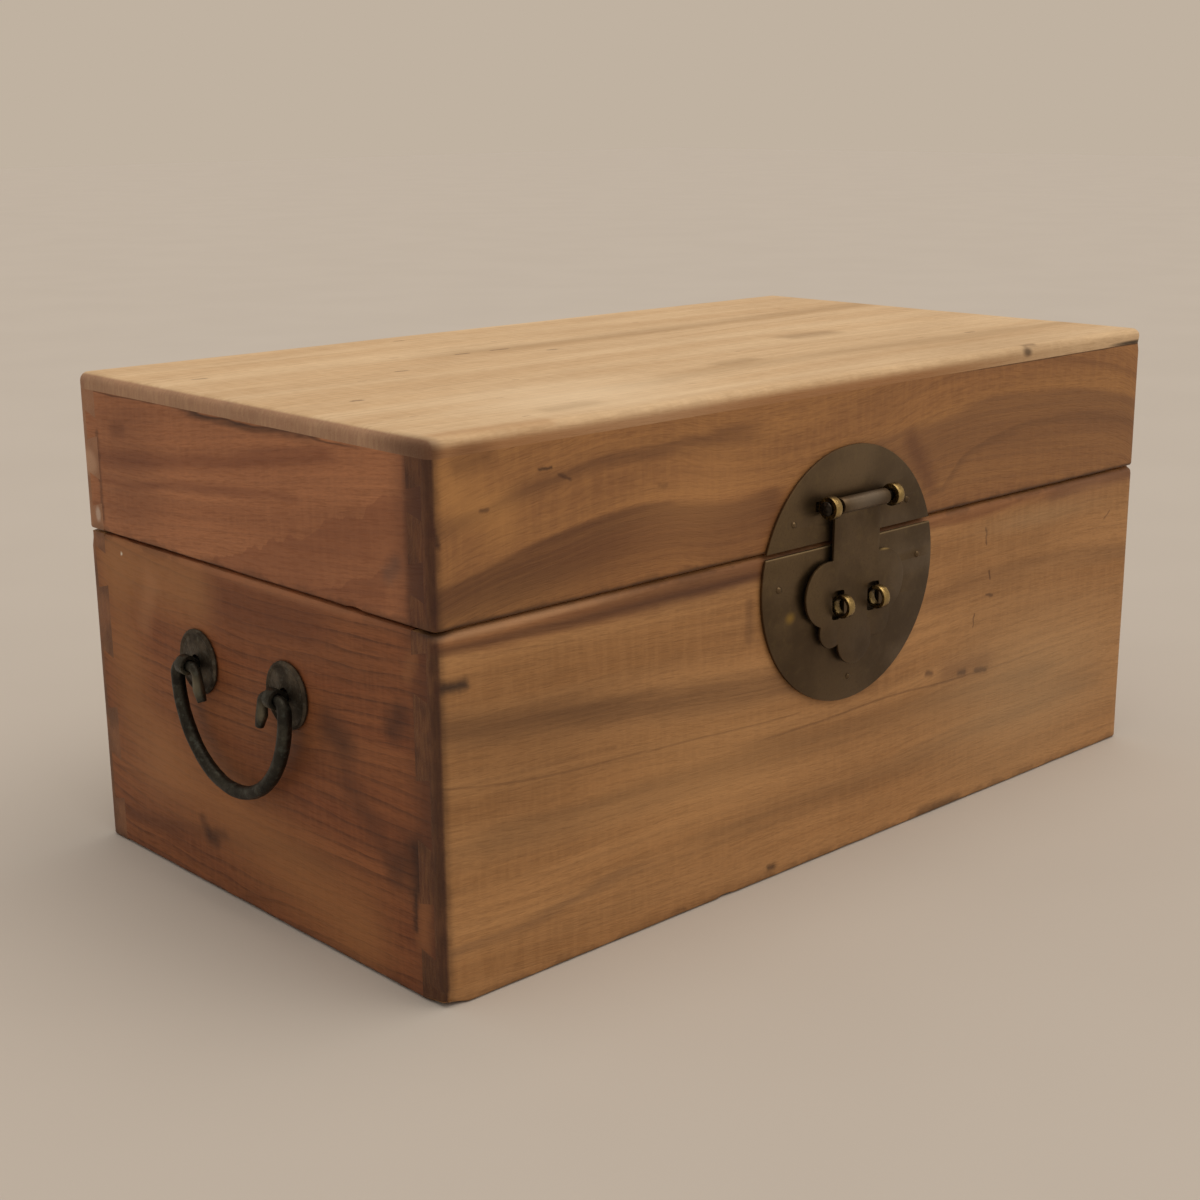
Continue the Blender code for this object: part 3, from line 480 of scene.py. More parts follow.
def soft_product(tree: Tree, edges: tuple[tuple[Socket, float, float, float, float], ...]) -> Socket:
    """Multiply soft edges into one mask.

    Args:
        tree: The material's node tree.
        edges: For each edge its value, where it starts and stops, and the mask before and after it.

    Returns:
        The mask from zero to one.
    """
    mask: Socket | float = 1.0
    for value, start, stop, before, after in edges:
        span = {"Value": value, "From Min": start, "From Max": stop, "To Min": before, "To Max": after}
        edge = add_node(tree, "ShaderNodeMapRange", span, interpolation_type="SMOOTHSTEP")
        mask = add_node(tree, "ShaderNodeMath", {0: edge, 1: mask}, operation="MULTIPLY")
    return mask


@dataclass(frozen=True)
class Zone:
    """A place where use has changed a tone, or where a highlight or shade is painted: its middle and reach
    along X, Y and Z in millimetres.
    """

    centre: Triple
    reach: Triple
    tone: str
    strength: float
    core: float = 0.4


def lay_zones(tree: Tree, point: Socket, colour: Socket, zones: tuple[Zone, ...]) -> Socket:
    """Lay the tones of worn or stained places, and of painted highlights and shade, over a colour.

    Args:
        tree: The material's node tree.
        point: The place in millimetres.
        colour: The colour below.
        zones: The places.

    Returns:
        The colour with them.
    """
    for zone in zones:
        shift = add_node(tree, "ShaderNodeVectorMath", {0: point, 1: zone.centre}, operation="SUBTRACT")
        away = add_node(tree, "ShaderNodeVectorMath", {0: shift, 1: zone.reach}, operation="DIVIDE")
        length = add_node(tree, "ShaderNodeVectorMath", {0: away}, "Value", operation="LENGTH")
        span = {"Value": length, "From Min": zone.core, "From Max": 1.0, "To Min": 1.0, "To Max": 0.0}
        near = add_node(tree, "ShaderNodeMapRange", span, interpolation_type="SMOOTHSTEP")
        colour = tint(tree, colour, zone.tone, near, zone.strength)
    return colour


# Figure of the wood along the grain, across it and through the board
WANDER = Figure((210.0, 42.0, 42.0), 0.2, 0.8, 1.0)
WAVER = Figure((34.0, 8.0, 8.0), 0.2, 0.8, 3.0)
TEETH = Figure((8.0, 60.0, 60.0), 0.25, 0.75, 4.0)
BAND = Figure((270.0, 15.0, 15.0), 0.30, 0.70, 3.0)
CLOUD = Figure((70.0, 26.0, 26.0), 0.34, 0.68, 3.0)
FINE_LINE = Figure((80.0, 1.7, 1.7), 0.34, 0.70, 2.0)
PORE = Figure((7.0, 0.8, 0.8), 0.46, 0.72, 1.0)
# Fibres are about 0.1 mm wide, too fine to show, and are drawn at 0.5 mm
FIBRE = Figure((2.6, 0.5, 0.5), 0.3, 0.7, 0.0)
RIPPLE_SIZE = (2.2, 13.0, 13.0)
# Figure of the wood along X, Y and Z
SAW_STREAK = Figure((1.1, 1.1, 7.0), 0.35, 0.7)
END_PATCH = Figure((14.0, 14.0, 14.0), 0.35, 0.65)
GRIME_PATCH = Figure((11.0, 11.0, 11.0), 0.38, 0.62, 3.0)
# How far apart in the tree two cuts lie whose seeds differ by one, in millimetres
CUT_SPACING = 83.0
# How far the edge of a streak wavers, and how far its teeth reach, in millimetres
WAVER_REACH = 3.0
TEETH_REACH = 6.0
# How far a mark's outline strays along and across the grain, and how often in a millimetre
MARK_STRAY = (3.0, 1.8, 0.0)
MARK_STRAY_SCALE = 0.3
# A face counts as outer, or as cut across the grain, as its turn towards that side goes from first to last
OUTER_TURN = (0.3, 0.7)
CUT_TURN = (0.42, 0.66)
# How fast a year's growth goes from pale to dark
LATE_WOOD = 5.0
# Share of the end grain's tone that covers, and of the pale saw streaks in it
END_COVER = 0.85
SAW_COVER = 0.22
END_STAIN = "#2E1B12"
# Grime reaches this far from an arris in millimetres, and this much farther in patches
GRIME_REACH = 0.6
GRIME_PATCH_REACH = 4.5
ARRIS_GRIME = "#3A2416"


@dataclass(frozen=True)
class CamphorWood:
    """Camphor wood, planed by hand and waxed long ago.

    It gives the eye broad bands of honey and brown, fine growth lines, short pores, a dull satin sheen,
    darker end grain and grime near the arrises.
    """

    name: str
    grain: Grain
    facing: int
    pale: str
    warm: str
    deep: str
    low: Triple
    high: Triple
    seed: float
    end_tone: str = "#552D1E"
    end_stain: float = 0.42
    flow: tuple[Point, ...] = ((-200.0, 0.0), (0.0, 2.0), (200.0, 0.0))
    wander_mm: float = 7.0
    ring_mm: float = 5.0
    ring_strength: float = 0.12
    edge_tone: str = ""
    grime: float = 0.34
    roughness: float = 0.58
    refraction: float = 1.48
    specular: float = 0.32
    relief: float = 0.2 * MM
    relief_strength: float = 0.45
    streaks: tuple[Streak, ...] = ()
    marks: tuple[Mark, ...] = ()
    zones: tuple[Zone, ...] = ()

    def build(self, stroke: Tree) -> bpy.types.Material:
        """Make the material.

        Args:
            stroke: The node group for soft strokes.

        Returns:
            The material.
        """
        material = new_material(self.name)
        tree = material.node_tree
        place = self._place(tree)
        colour, height, lines = self._growth(tree, place)
        colour = self._drawn(tree, place, colour, lines, stroke)
        colour = self._end_grain(tree, place, colour)
        colour = self._grimed(tree, place, colour)
        colour = lay_zones(tree, place.point, colour, self.zones)
        shader = tree.nodes["Principled BSDF"]
        tree.links.new(colour, shader.inputs["Base Color"])
        rough = {"Value": height, "To Min": self.roughness + 0.1, "To Max": self.roughness - 0.06}
        tree.links.new(add_node(tree, "ShaderNodeMapRange", rough), shader.inputs["Roughness"])
        bump = {"Height": height, "Distance": self.relief, "Strength": self.relief_strength}
        tree.links.new(add_node(tree, "ShaderNodeBump", bump), shader.inputs["Normal"])
        shader.inputs["IOR"].default_value = self.refraction
        shader.inputs["Specular IOR Level"].default_value = self.specular
        return material

    def _place(self, tree: Tree) -> GrainPlace:
        """Work out where a point lies on the board.

        Args:
            tree: The material's node tree.

        Returns:
            The sockets of its place.
        """
        point, normal = shaded_point(tree)
        parts = add_node(tree, "ShaderNodeSeparateXYZ", {0: point}).node.outputs
        along, across, through = (parts[axis] for axis in self.grain.value)
        depth = add_node(tree, "ShaderNodeMath", {0: through, 1: CUT_SPACING * self.seed}, operation="ADD")
        drift = path_height(tree, along, self.flow)
        level = add_node(tree, "ShaderNodeMath", {0: across, 1: drift}, operation="SUBTRACT")
        straight = add_node(tree, "ShaderNodeCombineXYZ", {0: along, 1: level, 2: depth})
        sway = {0: WANDER.mask(tree, straight), 1: self.wander_mm, 2: level}
        sway = add_node(tree, "ShaderNodeMath", sway, operation="MULTIPLY_ADD")
        grain = add_node(tree, "ShaderNodeCombineXYZ", {0: along, 1: sway, 2: depth})
        slow = {0: WAVER.mask(tree, straight), 1: WAVER_REACH, 2: -WAVER_REACH / 2}
        waver = add_node(tree, "ShaderNodeMath", slow, operation="MULTIPLY_ADD")
        quick = {0: TEETH.mask(tree, straight), 1: TEETH_REACH, 2: -TEETH_REACH / 2}
        teeth = add_node(tree, "ShaderNodeMath", quick, operation="MULTIPLY_ADD")
        return GrainPlace(point, along, across, through, grain, waver, teeth, normal)

    def _growth(self, tree: Tree, place: GrainPlace) -> tuple[Socket, Socket, Socket]:
        """Add the bands, growth lines, fibres and pores of the wood itself.

        Args:
            tree: The material's node tree.
            place: Where the point lies.

        Returns:
            The colour, the height of the surface from zero to one, and the growth lines.
        """
        kinds = (BAND, CLOUD, FINE_LINE, PORE, FIBRE)
        band, cloud, fine, pore, fibre = [kind.mask(tree, place.grain) for kind in kinds]
        # A light ripple stands across the grain
        ripple = Figure(tuple(self.grain.spot(*RIPPLE_SIZE)), 0.38, 0.66, 1.0).mask(tree, place.point)
        parts = add_node(tree, "ShaderNodeSeparateXYZ", {0: place.grain}).node.outputs
        rise = add_node(tree, "ShaderNodeMath", {0: parts["Y"], 1: self.ring_mm}, operation="DIVIDE")
        uneven = add_node(tree, "ShaderNodeMath", {0: cloud, 1: 0.45, 2: rise}, operation="MULTIPLY_ADD")
        tooth = add_node(tree, "ShaderNodeMath", {0: uneven}, operation="FRACT")
        late = add_node(tree, "ShaderNodeMath", {0: tooth, 1: LATE_WOOD}, operation="POWER")
        kept = add_node(tree, "ShaderNodeMath", {0: fine, 1: 0.4, 2: 0.6}, operation="MULTIPLY_ADD")
        rings = add_node(tree, "ShaderNodeMath", {0: late, 1: kept}, operation="MULTIPLY")
        mixed = {"Factor_Float": band, "A_Color": linear(self.pale), "B_Color": linear(self.warm)}
        colour = add_node(tree, "ShaderNodeMix", mixed, "Result_Color", data_type="RGBA")
        layers = (
            (self.deep, cloud, 0.16),
            (self.deep, fine, 0.22),
            (self.deep, rings, self.ring_strength),
            (self.pale, ripple, 0.22),
            (self.deep, pore, 0.18),
            (self.deep, fibre, 0.12),
        )
        for tone, mask, strength in layers:
            colour = tint(tree, colour, tone, mask, strength)
        sunk = add_node(tree, "ShaderNodeMath", {0: pore, 1: -0.5, 2: 0.6}, operation="MULTIPLY_ADD")
        height = add_node(tree, "ShaderNodeMath", {0: fibre, 1: 0.2, 2: sunk}, operation="MULTIPLY_ADD")
        height = add_node(tree, "ShaderNodeMath", {0: rings, 1: 0.2, 2: height}, operation="MULTIPLY_ADD")
        return colour, height, fine

    def _drawn(
        self, tree: Tree, place: GrainPlace, colour: Socket, lines: Socket, stroke: Tree
    ) -> Socket:
        """Lay this board's own streaks and marks on its outer face.

        Args:
            tree: The material's node tree.
            place: Where the point lies.
            colour: The colour below.
            lines: The growth lines, which show through.
            stroke: The node group for soft strokes.

        Returns:
            The colour with the marks.
        """
        outward = tuple(self.grain.spot(0.0, 0.0, float(self.facing)))
        faced = {0: place.normal, 1: outward}
        faced = add_node(tree, "ShaderNodeVectorMath", faced, "Value", operation="DOT_PRODUCT")
        least, full = OUTER_TURN
        face = add_node(tree, "ShaderNodeMapRange", {"Value": faced, "From Min": least, "From Max": full})
        shown = add_node(tree, "ShaderNodeMath", {0: lines, 1: 0.16, 2: 0.84}, operation="MULTIPLY_ADD")
        shown = add_node(tree, "ShaderNodeMath", {0: shown, 1: face}, operation="MULTIPLY")
        for streak in self.streaks:
            mask = self._streak_mask(tree, place, streak)
            mask = add_node(tree, "ShaderNodeMath", {0: mask, 1: shown}, operation="MULTIPLY")
            colour = tint(tree, colour, streak.tone, mask, streak.strength)
        stray = {"Vector": place.point, "Scale": MARK_STRAY_SCALE, "Detail": 2.0}
        stray = add_node(tree, "ShaderNodeTexNoise", stray, "Color")
        shift = {0: stray, 1: MARK_STRAY, 2: tuple(-length / 2 for length in MARK_STRAY)}
        shift = add_node(tree, "ShaderNodeVectorMath", shift, operation="MULTIPLY_ADD")
        spot = add_node(tree, "ShaderNodeCombineXYZ", {0: place.along, 1: place.across})
        spot = add_node(tree, "ShaderNodeVectorMath", {0: spot, 1: shift}, operation="ADD")
        for mark in self.marks:
            ends = {1: (*mark.start, 0.0), 2: (*mark.end, 0.0), 3: mark.width}
            group = add_node(tree, "ShaderNodeGroup", node_tree=stroke).node
            tree.links.new(spot, group.inputs[0])
            for index, value in ends.items():
                group.inputs[index].default_value = value
            mask = add_node(tree, "ShaderNodeMath", {0: group.outputs[0], 1: face}, operation="MULTIPLY")
            colour = tint(tree, colour, mark.tone, mask, mark.strength)
        return colour

    def _streak_mask(self, tree: Tree, place: GrainPlace, streak: Streak) -> Socket:
        """Mask one streak.

        Args:
            tree: The material's node tree.
            place: Where the point lies.
            streak: The streak.

        Returns:
            Its mask from zero to one.
        """
        height = path_height(tree, place.along, streak.path)
        waver = place.teeth if streak.toothed else place.waver
        level = {0: waver, 1: streak.ragged, 2: place.across}
        level = add_node(tree, "ShaderNodeMath", level, operation="MULTIPLY_ADD")
        offset = add_node(tree, "ShaderNodeMath", {0: level, 1: height}, operation="SUBTRACT")
        first, last = streak.path[0][0], streak.path[-1][0]
        edges = (
            (offset, 0.0, streak.above, 1.0, 0.0),
            (offset, -streak.below, 0.0, 0.0, 1.0),
            (place.along, first - streak.taper, first, 0.0, 1.0),
            (place.along, last, last + streak.taper, 1.0, 0.0),
        )
        return soft_product(tree, edges)

    def _end_grain(self, tree: Tree, place: GrainPlace, colour: Socket) -> Socket:
        """Darken the faces that cut across the grain, with upright saw streaks.

        Args:
            tree: The material's node tree.
            place: Where the point lies.
            colour: The colour below.

        Returns:
            The colour with end grain.
        """
        axis = tuple(self.grain.spot(1.0, 0.0, 0.0))
        turn = {0: place.normal, 1: axis}
        turn = add_node(tree, "ShaderNodeVectorMath", turn, "Value", operation="DOT_PRODUCT")
        square = add_node(tree, "ShaderNodeMath", {0: turn}, operation="ABSOLUTE")
        least, full = CUT_TURN
        cut = add_node(tree, "ShaderNodeMapRange", {"Value": square, "From Min": least, "From Max": full})
        streaks = SAW_STREAK.mask(tree, place.point)
        patches = END_PATCH.mask(tree, place.point)
        if self.edge_tone:
            colour = self._rounded_edge(tree, place, colour)
        colour = tint(tree, colour, self.end_tone, cut, END_COVER)
        pale = add_node(tree, "ShaderNodeMath", {0: cut, 1: streaks}, operation="MULTIPLY")
        colour = tint(tree, colour, self.warm, pale, SAW_COVER)
        dark = add_node(tree, "ShaderNodeMath", {0: cut, 1: patches}, operation="MULTIPLY")
        return tint(tree, colour, END_STAIN, dark, self.end_stain)

    def _rounded_edge(self, tree: Tree, place: GrainPlace, colour: Socket) -> Socket:
        """Warm the top's rounded edge at the front and the back, less towards the right.

        Args:
            tree: The material's node tree.
            place: Where the point lies.
            colour: The colour below.

        Returns:
            The colour with the edge.
        """
        top = self.high[2]
        outer = add_node(tree, "ShaderNodeMath", {0: place.across}, operation="ABSOLUTE")
        edges = (
            (place.through, top - 4.6, top - 0.9, 1.0, 0.0),
            (place.along, 40.0, 150.0, 1.0, 0.2),
            (outer, 101.0, 105.0, 0.0, 1.0),
        )
        return tint(tree, colour, self.edge_tone, soft_product(tree, edges), END_COVER)

    def _grimed(self, tree: Tree, place: GrainPlace, colour: Socket) -> Socket:
        """Darken the wood near the arrises, in patches.

        Args:
            tree: The material's node tree.
            place: Where the point lies.
            colour: The colour below.

        Returns:
            The grimed colour.
        """
        middle = tuple((low + high) / 2 for low, high in zip(self.low, self.high))
        half = tuple((high - low) / 2 for low, high in zip(self.low, self.high))
        centred = add_node(tree, "ShaderNodeVectorMath", {0: place.point, 1: middle}, operation="SUBTRACT")
        away = add_node(tree, "ShaderNodeVectorMath", {0: centred}, operation="ABSOLUTE")
        inside = add_node(tree, "ShaderNodeVectorMath", {0: half, 1: away}, operation="SUBTRACT")
        gaps = add_node(tree, "ShaderNodeSeparateXYZ", {0: inside}).node.outputs
        nearer = add_node(tree, "ShaderNodeMath", {0: gaps["X"], 1: gaps["Y"]}, operation="MINIMUM")
        farther = add_node(tree, "ShaderNodeMath", {0: gaps["X"], 1: gaps["Y"]}, operation="MAXIMUM")
        capped = add_node(tree, "ShaderNodeMath", {0: farther, 1: gaps["Z"]}, operation="MINIMUM")
        arris = add_node(tree, "ShaderNodeMath", {0: nearer, 1: capped}, operation="MAXIMUM")
        patchy = {0: GRIME_PATCH.mask(tree, place.point), 1: GRIME_PATCH_REACH, 2: GRIME_REACH}
        reach = add_node(tree, "ShaderNodeMath", patchy, operation="MULTIPLY_ADD")
        span = {"Value": arris, "From Max": reach, "To Min": 1.0, "To Max": 0.0}
        near = add_node(tree, "ShaderNodeMapRange", span, interpolation_type="SMOOTHSTEP")
        return tint(tree, colour, ARRIS_GRIME, near, self.grime)


# Figure of old metal along X, Y and Z
SPECKLE = Figure((0.9, 0.9, 0.9), 0.5, 0.68)
WORN_METAL = Figure((3.2, 3.2, 3.2), 0.52, 0.7, 4.0)
SCRATCH = Figure((9.0, 9.0, 0.35), 0.6, 0.72, 1.0)
VERDIGRIS = Figure((2.4, 2.4, 2.4), 0.55, 0.66, 4.0)
# Shares of the speckle's dark tone, of bright metal in a scratch, and of bright metal on a rubbed side,
# which is partly a painted highlight on the side turned to the light
SPECKLE_COVER = 0.35
SCRATCH_COVER = 0.35
RUBBED_AND_LIT_COVER = 0.5
# A side is rubbed bright, partly as a painted highlight, as its turn towards the rubbed direction goes
# from first to last
RUBBED_AND_LIT_TURN = (0.25, 0.8)
# How metallic clean metal is, and how much of that full verdigris takes
CLEAN_METALLIC = 0.92
VERDIGRIS_LOSS = 0.7
# How strongly the relief of patina and speckle shows
METAL_RELIEF = 0.5


@dataclass(frozen=True)
class AgedMetal:
    """Brass, bronze or iron gone dull with age.

    It gives the eye a soft metal sheen, patches of darker patina, fine scratches, a little verdigris in the
    hollows and brighter metal where hands have rubbed it; on a given side that brighter metal is also a
    painted highlight where the side turns to the light.
    """

    name: str
    tone: str
    patina: str
    rubbed: str
    roughness: float
    patch_mm: float
    rubbed_share: float
    verdigris: str = "#6F7A66"
    verdigris_share: float = 0.0
    bump: float = 0.12
    rubbed_and_lit_side: Triple | None = None
    zones: tuple[Zone, ...] = ()

    def build(self) -> bpy.types.Material:
        """Make the material.

        Returns:
            The material.
        """
        material = new_material(self.name)
        tree = material.node_tree
        point, normal = shaded_point(tree)
        size = self.patch_mm
        kinds = (Figure((size, size, size), 0.36, 0.66, 4.0), SPECKLE, WORN_METAL, SCRATCH, VERDIGRIS)
        patches, speckle, worn, scratches, green = [kind.mask(tree, point) for kind in kinds]
        mixed = {"Factor_Float": patches, "A_Color": linear(self.tone), "B_Color": linear(self.patina)}
        colour = add_node(tree, "ShaderNodeMix", mixed, "Result_Color", data_type="RGBA")
        colour = tint(tree, colour, self.patina, speckle, SPECKLE_COVER)
        colour = tint(tree, colour, self.rubbed, worn, self.rubbed_share)
        colour = tint(tree, colour, self.rubbed, scratches, SCRATCH_COVER * self.rubbed_share)
        # Brighten the side turned towards the given direction: rubbed metal, partly a painted highlight
        # where the light falls
        if self.rubbed_and_lit_side:
            aim = {0: normal, 1: self.rubbed_and_lit_side}
            turned = add_node(tree, "ShaderNodeVectorMath", aim, "Value", operation="DOT_PRODUCT")
            least, full = RUBBED_AND_LIT_TURN
            span = {"Value": turned, "From Min": least, "From Max": full}
            outer = add_node(tree, "ShaderNodeMapRange", span, interpolation_type="SMOOTHSTEP")
            colour = tint(tree, colour, self.rubbed, outer, RUBBED_AND_LIT_COVER)
        colour = lay_zones(tree, point, colour, self.zones)
        colour = tint(tree, colour, self.verdigris, green, self.verdigris_share)
        shader = tree.nodes["Principled BSDF"]
        tree.links.new(colour, shader.inputs["Base Color"])
        dull = {"Value": patches, "To Min": self.roughness - 0.06, "To Max": self.roughness + 0.12}
        tree.links.new(add_node(tree, "ShaderNodeMapRange", dull), shader.inputs["Roughness"])
        dulled = CLEAN_METALLIC - VERDIGRIS_LOSS * self.verdigris_share
        clean = {"Value": green, "To Min": CLEAN_METALLIC, "To Max": dulled}
        tree.links.new(add_node(tree, "ShaderNodeMapRange", clean), shader.inputs["Metallic"])
        relief = {0: speckle, 1: 0.6, 2: patches}
        relief = add_node(tree, "ShaderNodeMath", relief, operation="MULTIPLY_ADD")
        bump = {"Height": relief, "Distance": self.bump * MM, "Strength": METAL_RELIEF}
        tree.links.new(add_node(tree, "ShaderNodeBump", bump), shader.inputs["Normal"])
        return material


BASE_LOW = (-200.0, -110.0, 0.0)
BASE_HIGH = (200.0, 110.0, 128.0)
LID_LOW = (-200.0, -110.0, 128.5)
LID_HIGH = (200.0, 110.0, 190.0)
# The joint under the top shows a little higher on the trunk than in the CAD model, where both its faces
# lie within the reach of the first height
CAD_TOP_JOINT = 181.35
CAD_JOINT_REACH = 0.5
TOP_JOINT = 183.7

# Streaks and marks of the lid front, seen from the front: along X and up Z
LID_SWEEP = Streak(
    path=(
        (-200, 141), (-186, 144), (-166, 148), (-145, 152), (-123, 154), (-106, 155), (-88, 153),
        (-63, 150), (-44, 151),
    ),
    above=2.6, below=30.0, tone="#603C24", strength=0.8, ragged=0.6,
)
LID_UNDER = Streak(
    path=((-130, 146), (-88, 150), (-40, 149)),
    above=5.0, below=45.0, tone="#8A5732", strength=0.45, taper=45.0,
)
LID_HAZE = Streak(
    path=((-199, 163), (-180, 165), (-165, 169), (-145, 172), (-123, 175), (-100, 175), (-64, 176)),
    above=3.5, below=7.0, tone="#6A452B", strength=0.7, taper=25.0,
)
LID_ARCH = Streak(
    path=((20, 161), (44, 164), (66, 166), (89, 169), (107, 169), (132, 168), (158, 165), (200, 157)),
    above=4.0, below=60.0, tone="#7C5536", strength=0.72, ragged=0.7,
)
LID_INNER_ARCH = Streak(
    path=((58, 138), (64, 143), (79, 152), (102, 156), (127, 158), (160, 156), (200, 148)),
    above=1.4, below=5.0, tone="#64432B", strength=0.4, ragged=0.5,
)
LID_RIGHT_LINE = Streak(
    path=((130, 184), (157, 180), (184, 174), (200, 169)),
    above=1.2, below=4.0, tone="#6E482C", strength=0.4, ragged=0.5,
)
LID_TOP_LINE = Streak(
    path=((110, 183.6), (155, 183.6), (200, 183.6)),
    above=0.3, below=0.6, tone="#2A1A10", strength=0.75, taper=70.0, ragged=0.1,
)
LID_GLOW = Mark(start=(-192, 172), end=(-172, 162), width=15.0, tone="#C48E52", strength=0.4)
LID_SPOT = Mark(start=(37, 160), end=(50, 141), width=8.0, tone="#5A3322", strength=0.5)
LID_TICK_LONG = Mark(start=(-156, 175), end=(-150, 174.6), width=1.0, tone="#3A2416", strength=0.75)
LID_TICK_SLANT = Mark(start=(-147, 172.3), end=(-142, 169.8), width=1.1, tone="#44291A", strength=0.65)
LID_TICK_LEFT = Mark(start=(-180, 165), end=(-177.5, 164.8), width=1.2, tone="#44291A", strength=0.6)
LID_TICK_MIDDLE = Mark(start=(-101, 161.8), end=(-98, 161.5), width=1.6, tone="#55351F", strength=0.5)
LID_SMUDGE = Mark(start=(-189, 180.5), end=(-177, 182.5), width=6.0, tone="#5E3A22", strength=0.45)
LID_CORNER_KNOT = Mark(start=(-199.5, 161), end=(-198, 157), width=2.6, tone="#3E2216", strength=0.8)

# Shade along the seam, and in the split of the lock plate
FRONT_SEAM = Streak(
    path=((-201, 129.0), (0, 129.0), (201, 129.0)),
    above=1.6, below=0.8, tone="#2A1810", strength=0.75, taper=1.0, ragged=0.15,
)
END_SEAM = Streak(
    path=((-109, 128.6), (0, 128.6), (109, 128.6)),
    above=1.2, below=0.8, tone="#2A1810", strength=0.75, taper=1.0, ragged=0.15,
)
PLATE_SEAM = Streak(
    path=((-46, 128.3), (0, 128.3), (46, 128.3)),
    above=1.7, below=1.9, tone="#2A1810", strength=0.85, taper=3.0, ragged=0.1,
)

# Streaks and marks of the base front, along X and up Z
GREY_UPPER = Streak(
    path=((-198, 96), (-148, 90), (-77, 81), (-30, 77)),
    above=10.0, below=11.0, tone="#66452A", strength=0.72, taper=30.0,
)
GREY_MIDDLE = Streak(
    path=((-173, 55), (-106, 53), (-26, 52), (60, 49), (130, 48)),
    above=7.0, below=13.0, tone="#775636", strength=0.45, taper=30.0,
)
GREY_LOWER = Streak(
    path=((-60, 27), (0, 26), (80, 30), (160, 33)),
    above=8.0, below=9.0, tone="#7B5A3A", strength=0.4, taper=40.0,
)
GREY_FOOT = Streak(
    path=((-196, 20), (-160, 21), (-120, 25)),
    above=3.0, below=5.0, tone="#74553A", strength=0.45, taper=30.0,
)
GREY_RIGHT = Streak(
    path=((60, 92), (110, 96), (160, 93), (200, 90)),
    above=7.0, below=9.0, tone="#7A5636", strength=0.4, taper=25.0,
)
FRONT_DASHES = Streak(
    path=((-104, 67.3), (-70, 65.4), (-30, 63.1)),
    above=0.5, below=0.7, tone="#5A3A22", strength=0.45, taper=6.0, ragged=0.12,
)
FRONT_LINE = Streak(
    path=((-199, 77), (-160, 71), (-111, 68)),
    above=0.6, below=0.9, tone="#5F3D24", strength=0.4, taper=6.0, ragged=0.15,
)
CRACK_SHADE = Streak(
    path=((-37, 57), (-9, 57), (27, 57.5), (57, 56), (92, 55), (131, 55)),
    above=0.8, below=1.0, tone="#4A2D1C", strength=0.4, taper=30.0, ragged=0.1,
)
KNOT_LEFT = Mark(start=(52.5, 61.8), end=(55.5, 61.4), width=2.3, tone="#48291B", strength=0.7)
KNOT_MIDDLE = Mark(start=(74.5, 57.3), end=(78, 57), width=2.8, tone="#42251A", strength=0.8)
KNOT_RIGHT = Mark(start=(86, 56), end=(93, 55.3), width=2.1, tone="#42251A", strength=0.8)
KNOT_HALO = Mark(start=(66, 60), end=(92, 59), width=9.0, tone="#6A4228", strength=0.45)
CORNER_PLUG = Mark(start=(-201, 110.6), end=(-189, 110.0), width=3.8, tone="#33231A", strength=0.9)
FRONT_CHIP = Mark(start=(-42, 4.3), end=(-39.5, 4.2), width=2.4, tone="#4A3322", strength=0.8)
FRONT_SCRATCH = Mark(start=(182, 110), end=(178, 107.4), width=0.8, tone="#5A3B25", strength=0.6)
FRONT_FOOT_STAIN = Mark(start=(51, 2), end=(77, 1), width=4.5, tone="#4A3322", strength=0.5)
NICK_TOP = Mark(start=(89.0, 117), end=(89.8, 110), width=0.9, tone="#4E301D", strength=0.65)
NICK_MIDDLE = Mark(start=(92.3, 98), end=(93.2, 94.5), width=0.9, tone="#482B1A", strength=0.75)
NICK_LOWER = Mark(start=(91.5, 88), end=(95.5, 87), width=1.1, tone="#482B1A", strength=0.7)
NICK_LEFT = Mark(start=(83.2, 81), end=(82.7, 76), width=0.9, tone="#482B1A", strength=0.7)
PLATE_GRIME = Mark(start=(-55, 112), end=(-55, 98), width=4.0, tone="#5F3E26", strength=0.4)

# Streaks of the reddish strip under the seam
STRIP_TONE = Streak(
    path=((-201, 125), (-146, 121.5), (-50, 121.5), (54, 123.5), (142, 125.5), (200, 125)),
    above=30.0, below=4.5, tone="#7A4829", strength=0.7,
)
# Painted shade: a darker band below the strip's rounded lip
STRIP_UNDER_LIP_SHADE = Streak(
    path=((-196, 122.6), (-160, 121.8), (-120, 121.6), (-60, 121.4)),
    above=2.6, below=3.4, tone="#4A2C1B", strength=0.62, taper=30.0, ragged=0.35,
)
STRIP_SHADE = Streak(
    path=((140, 124), (170, 124), (200, 124)),
    above=8.0, below=4.0, tone="#6A4630", strength=0.65, taper=14.0,
)

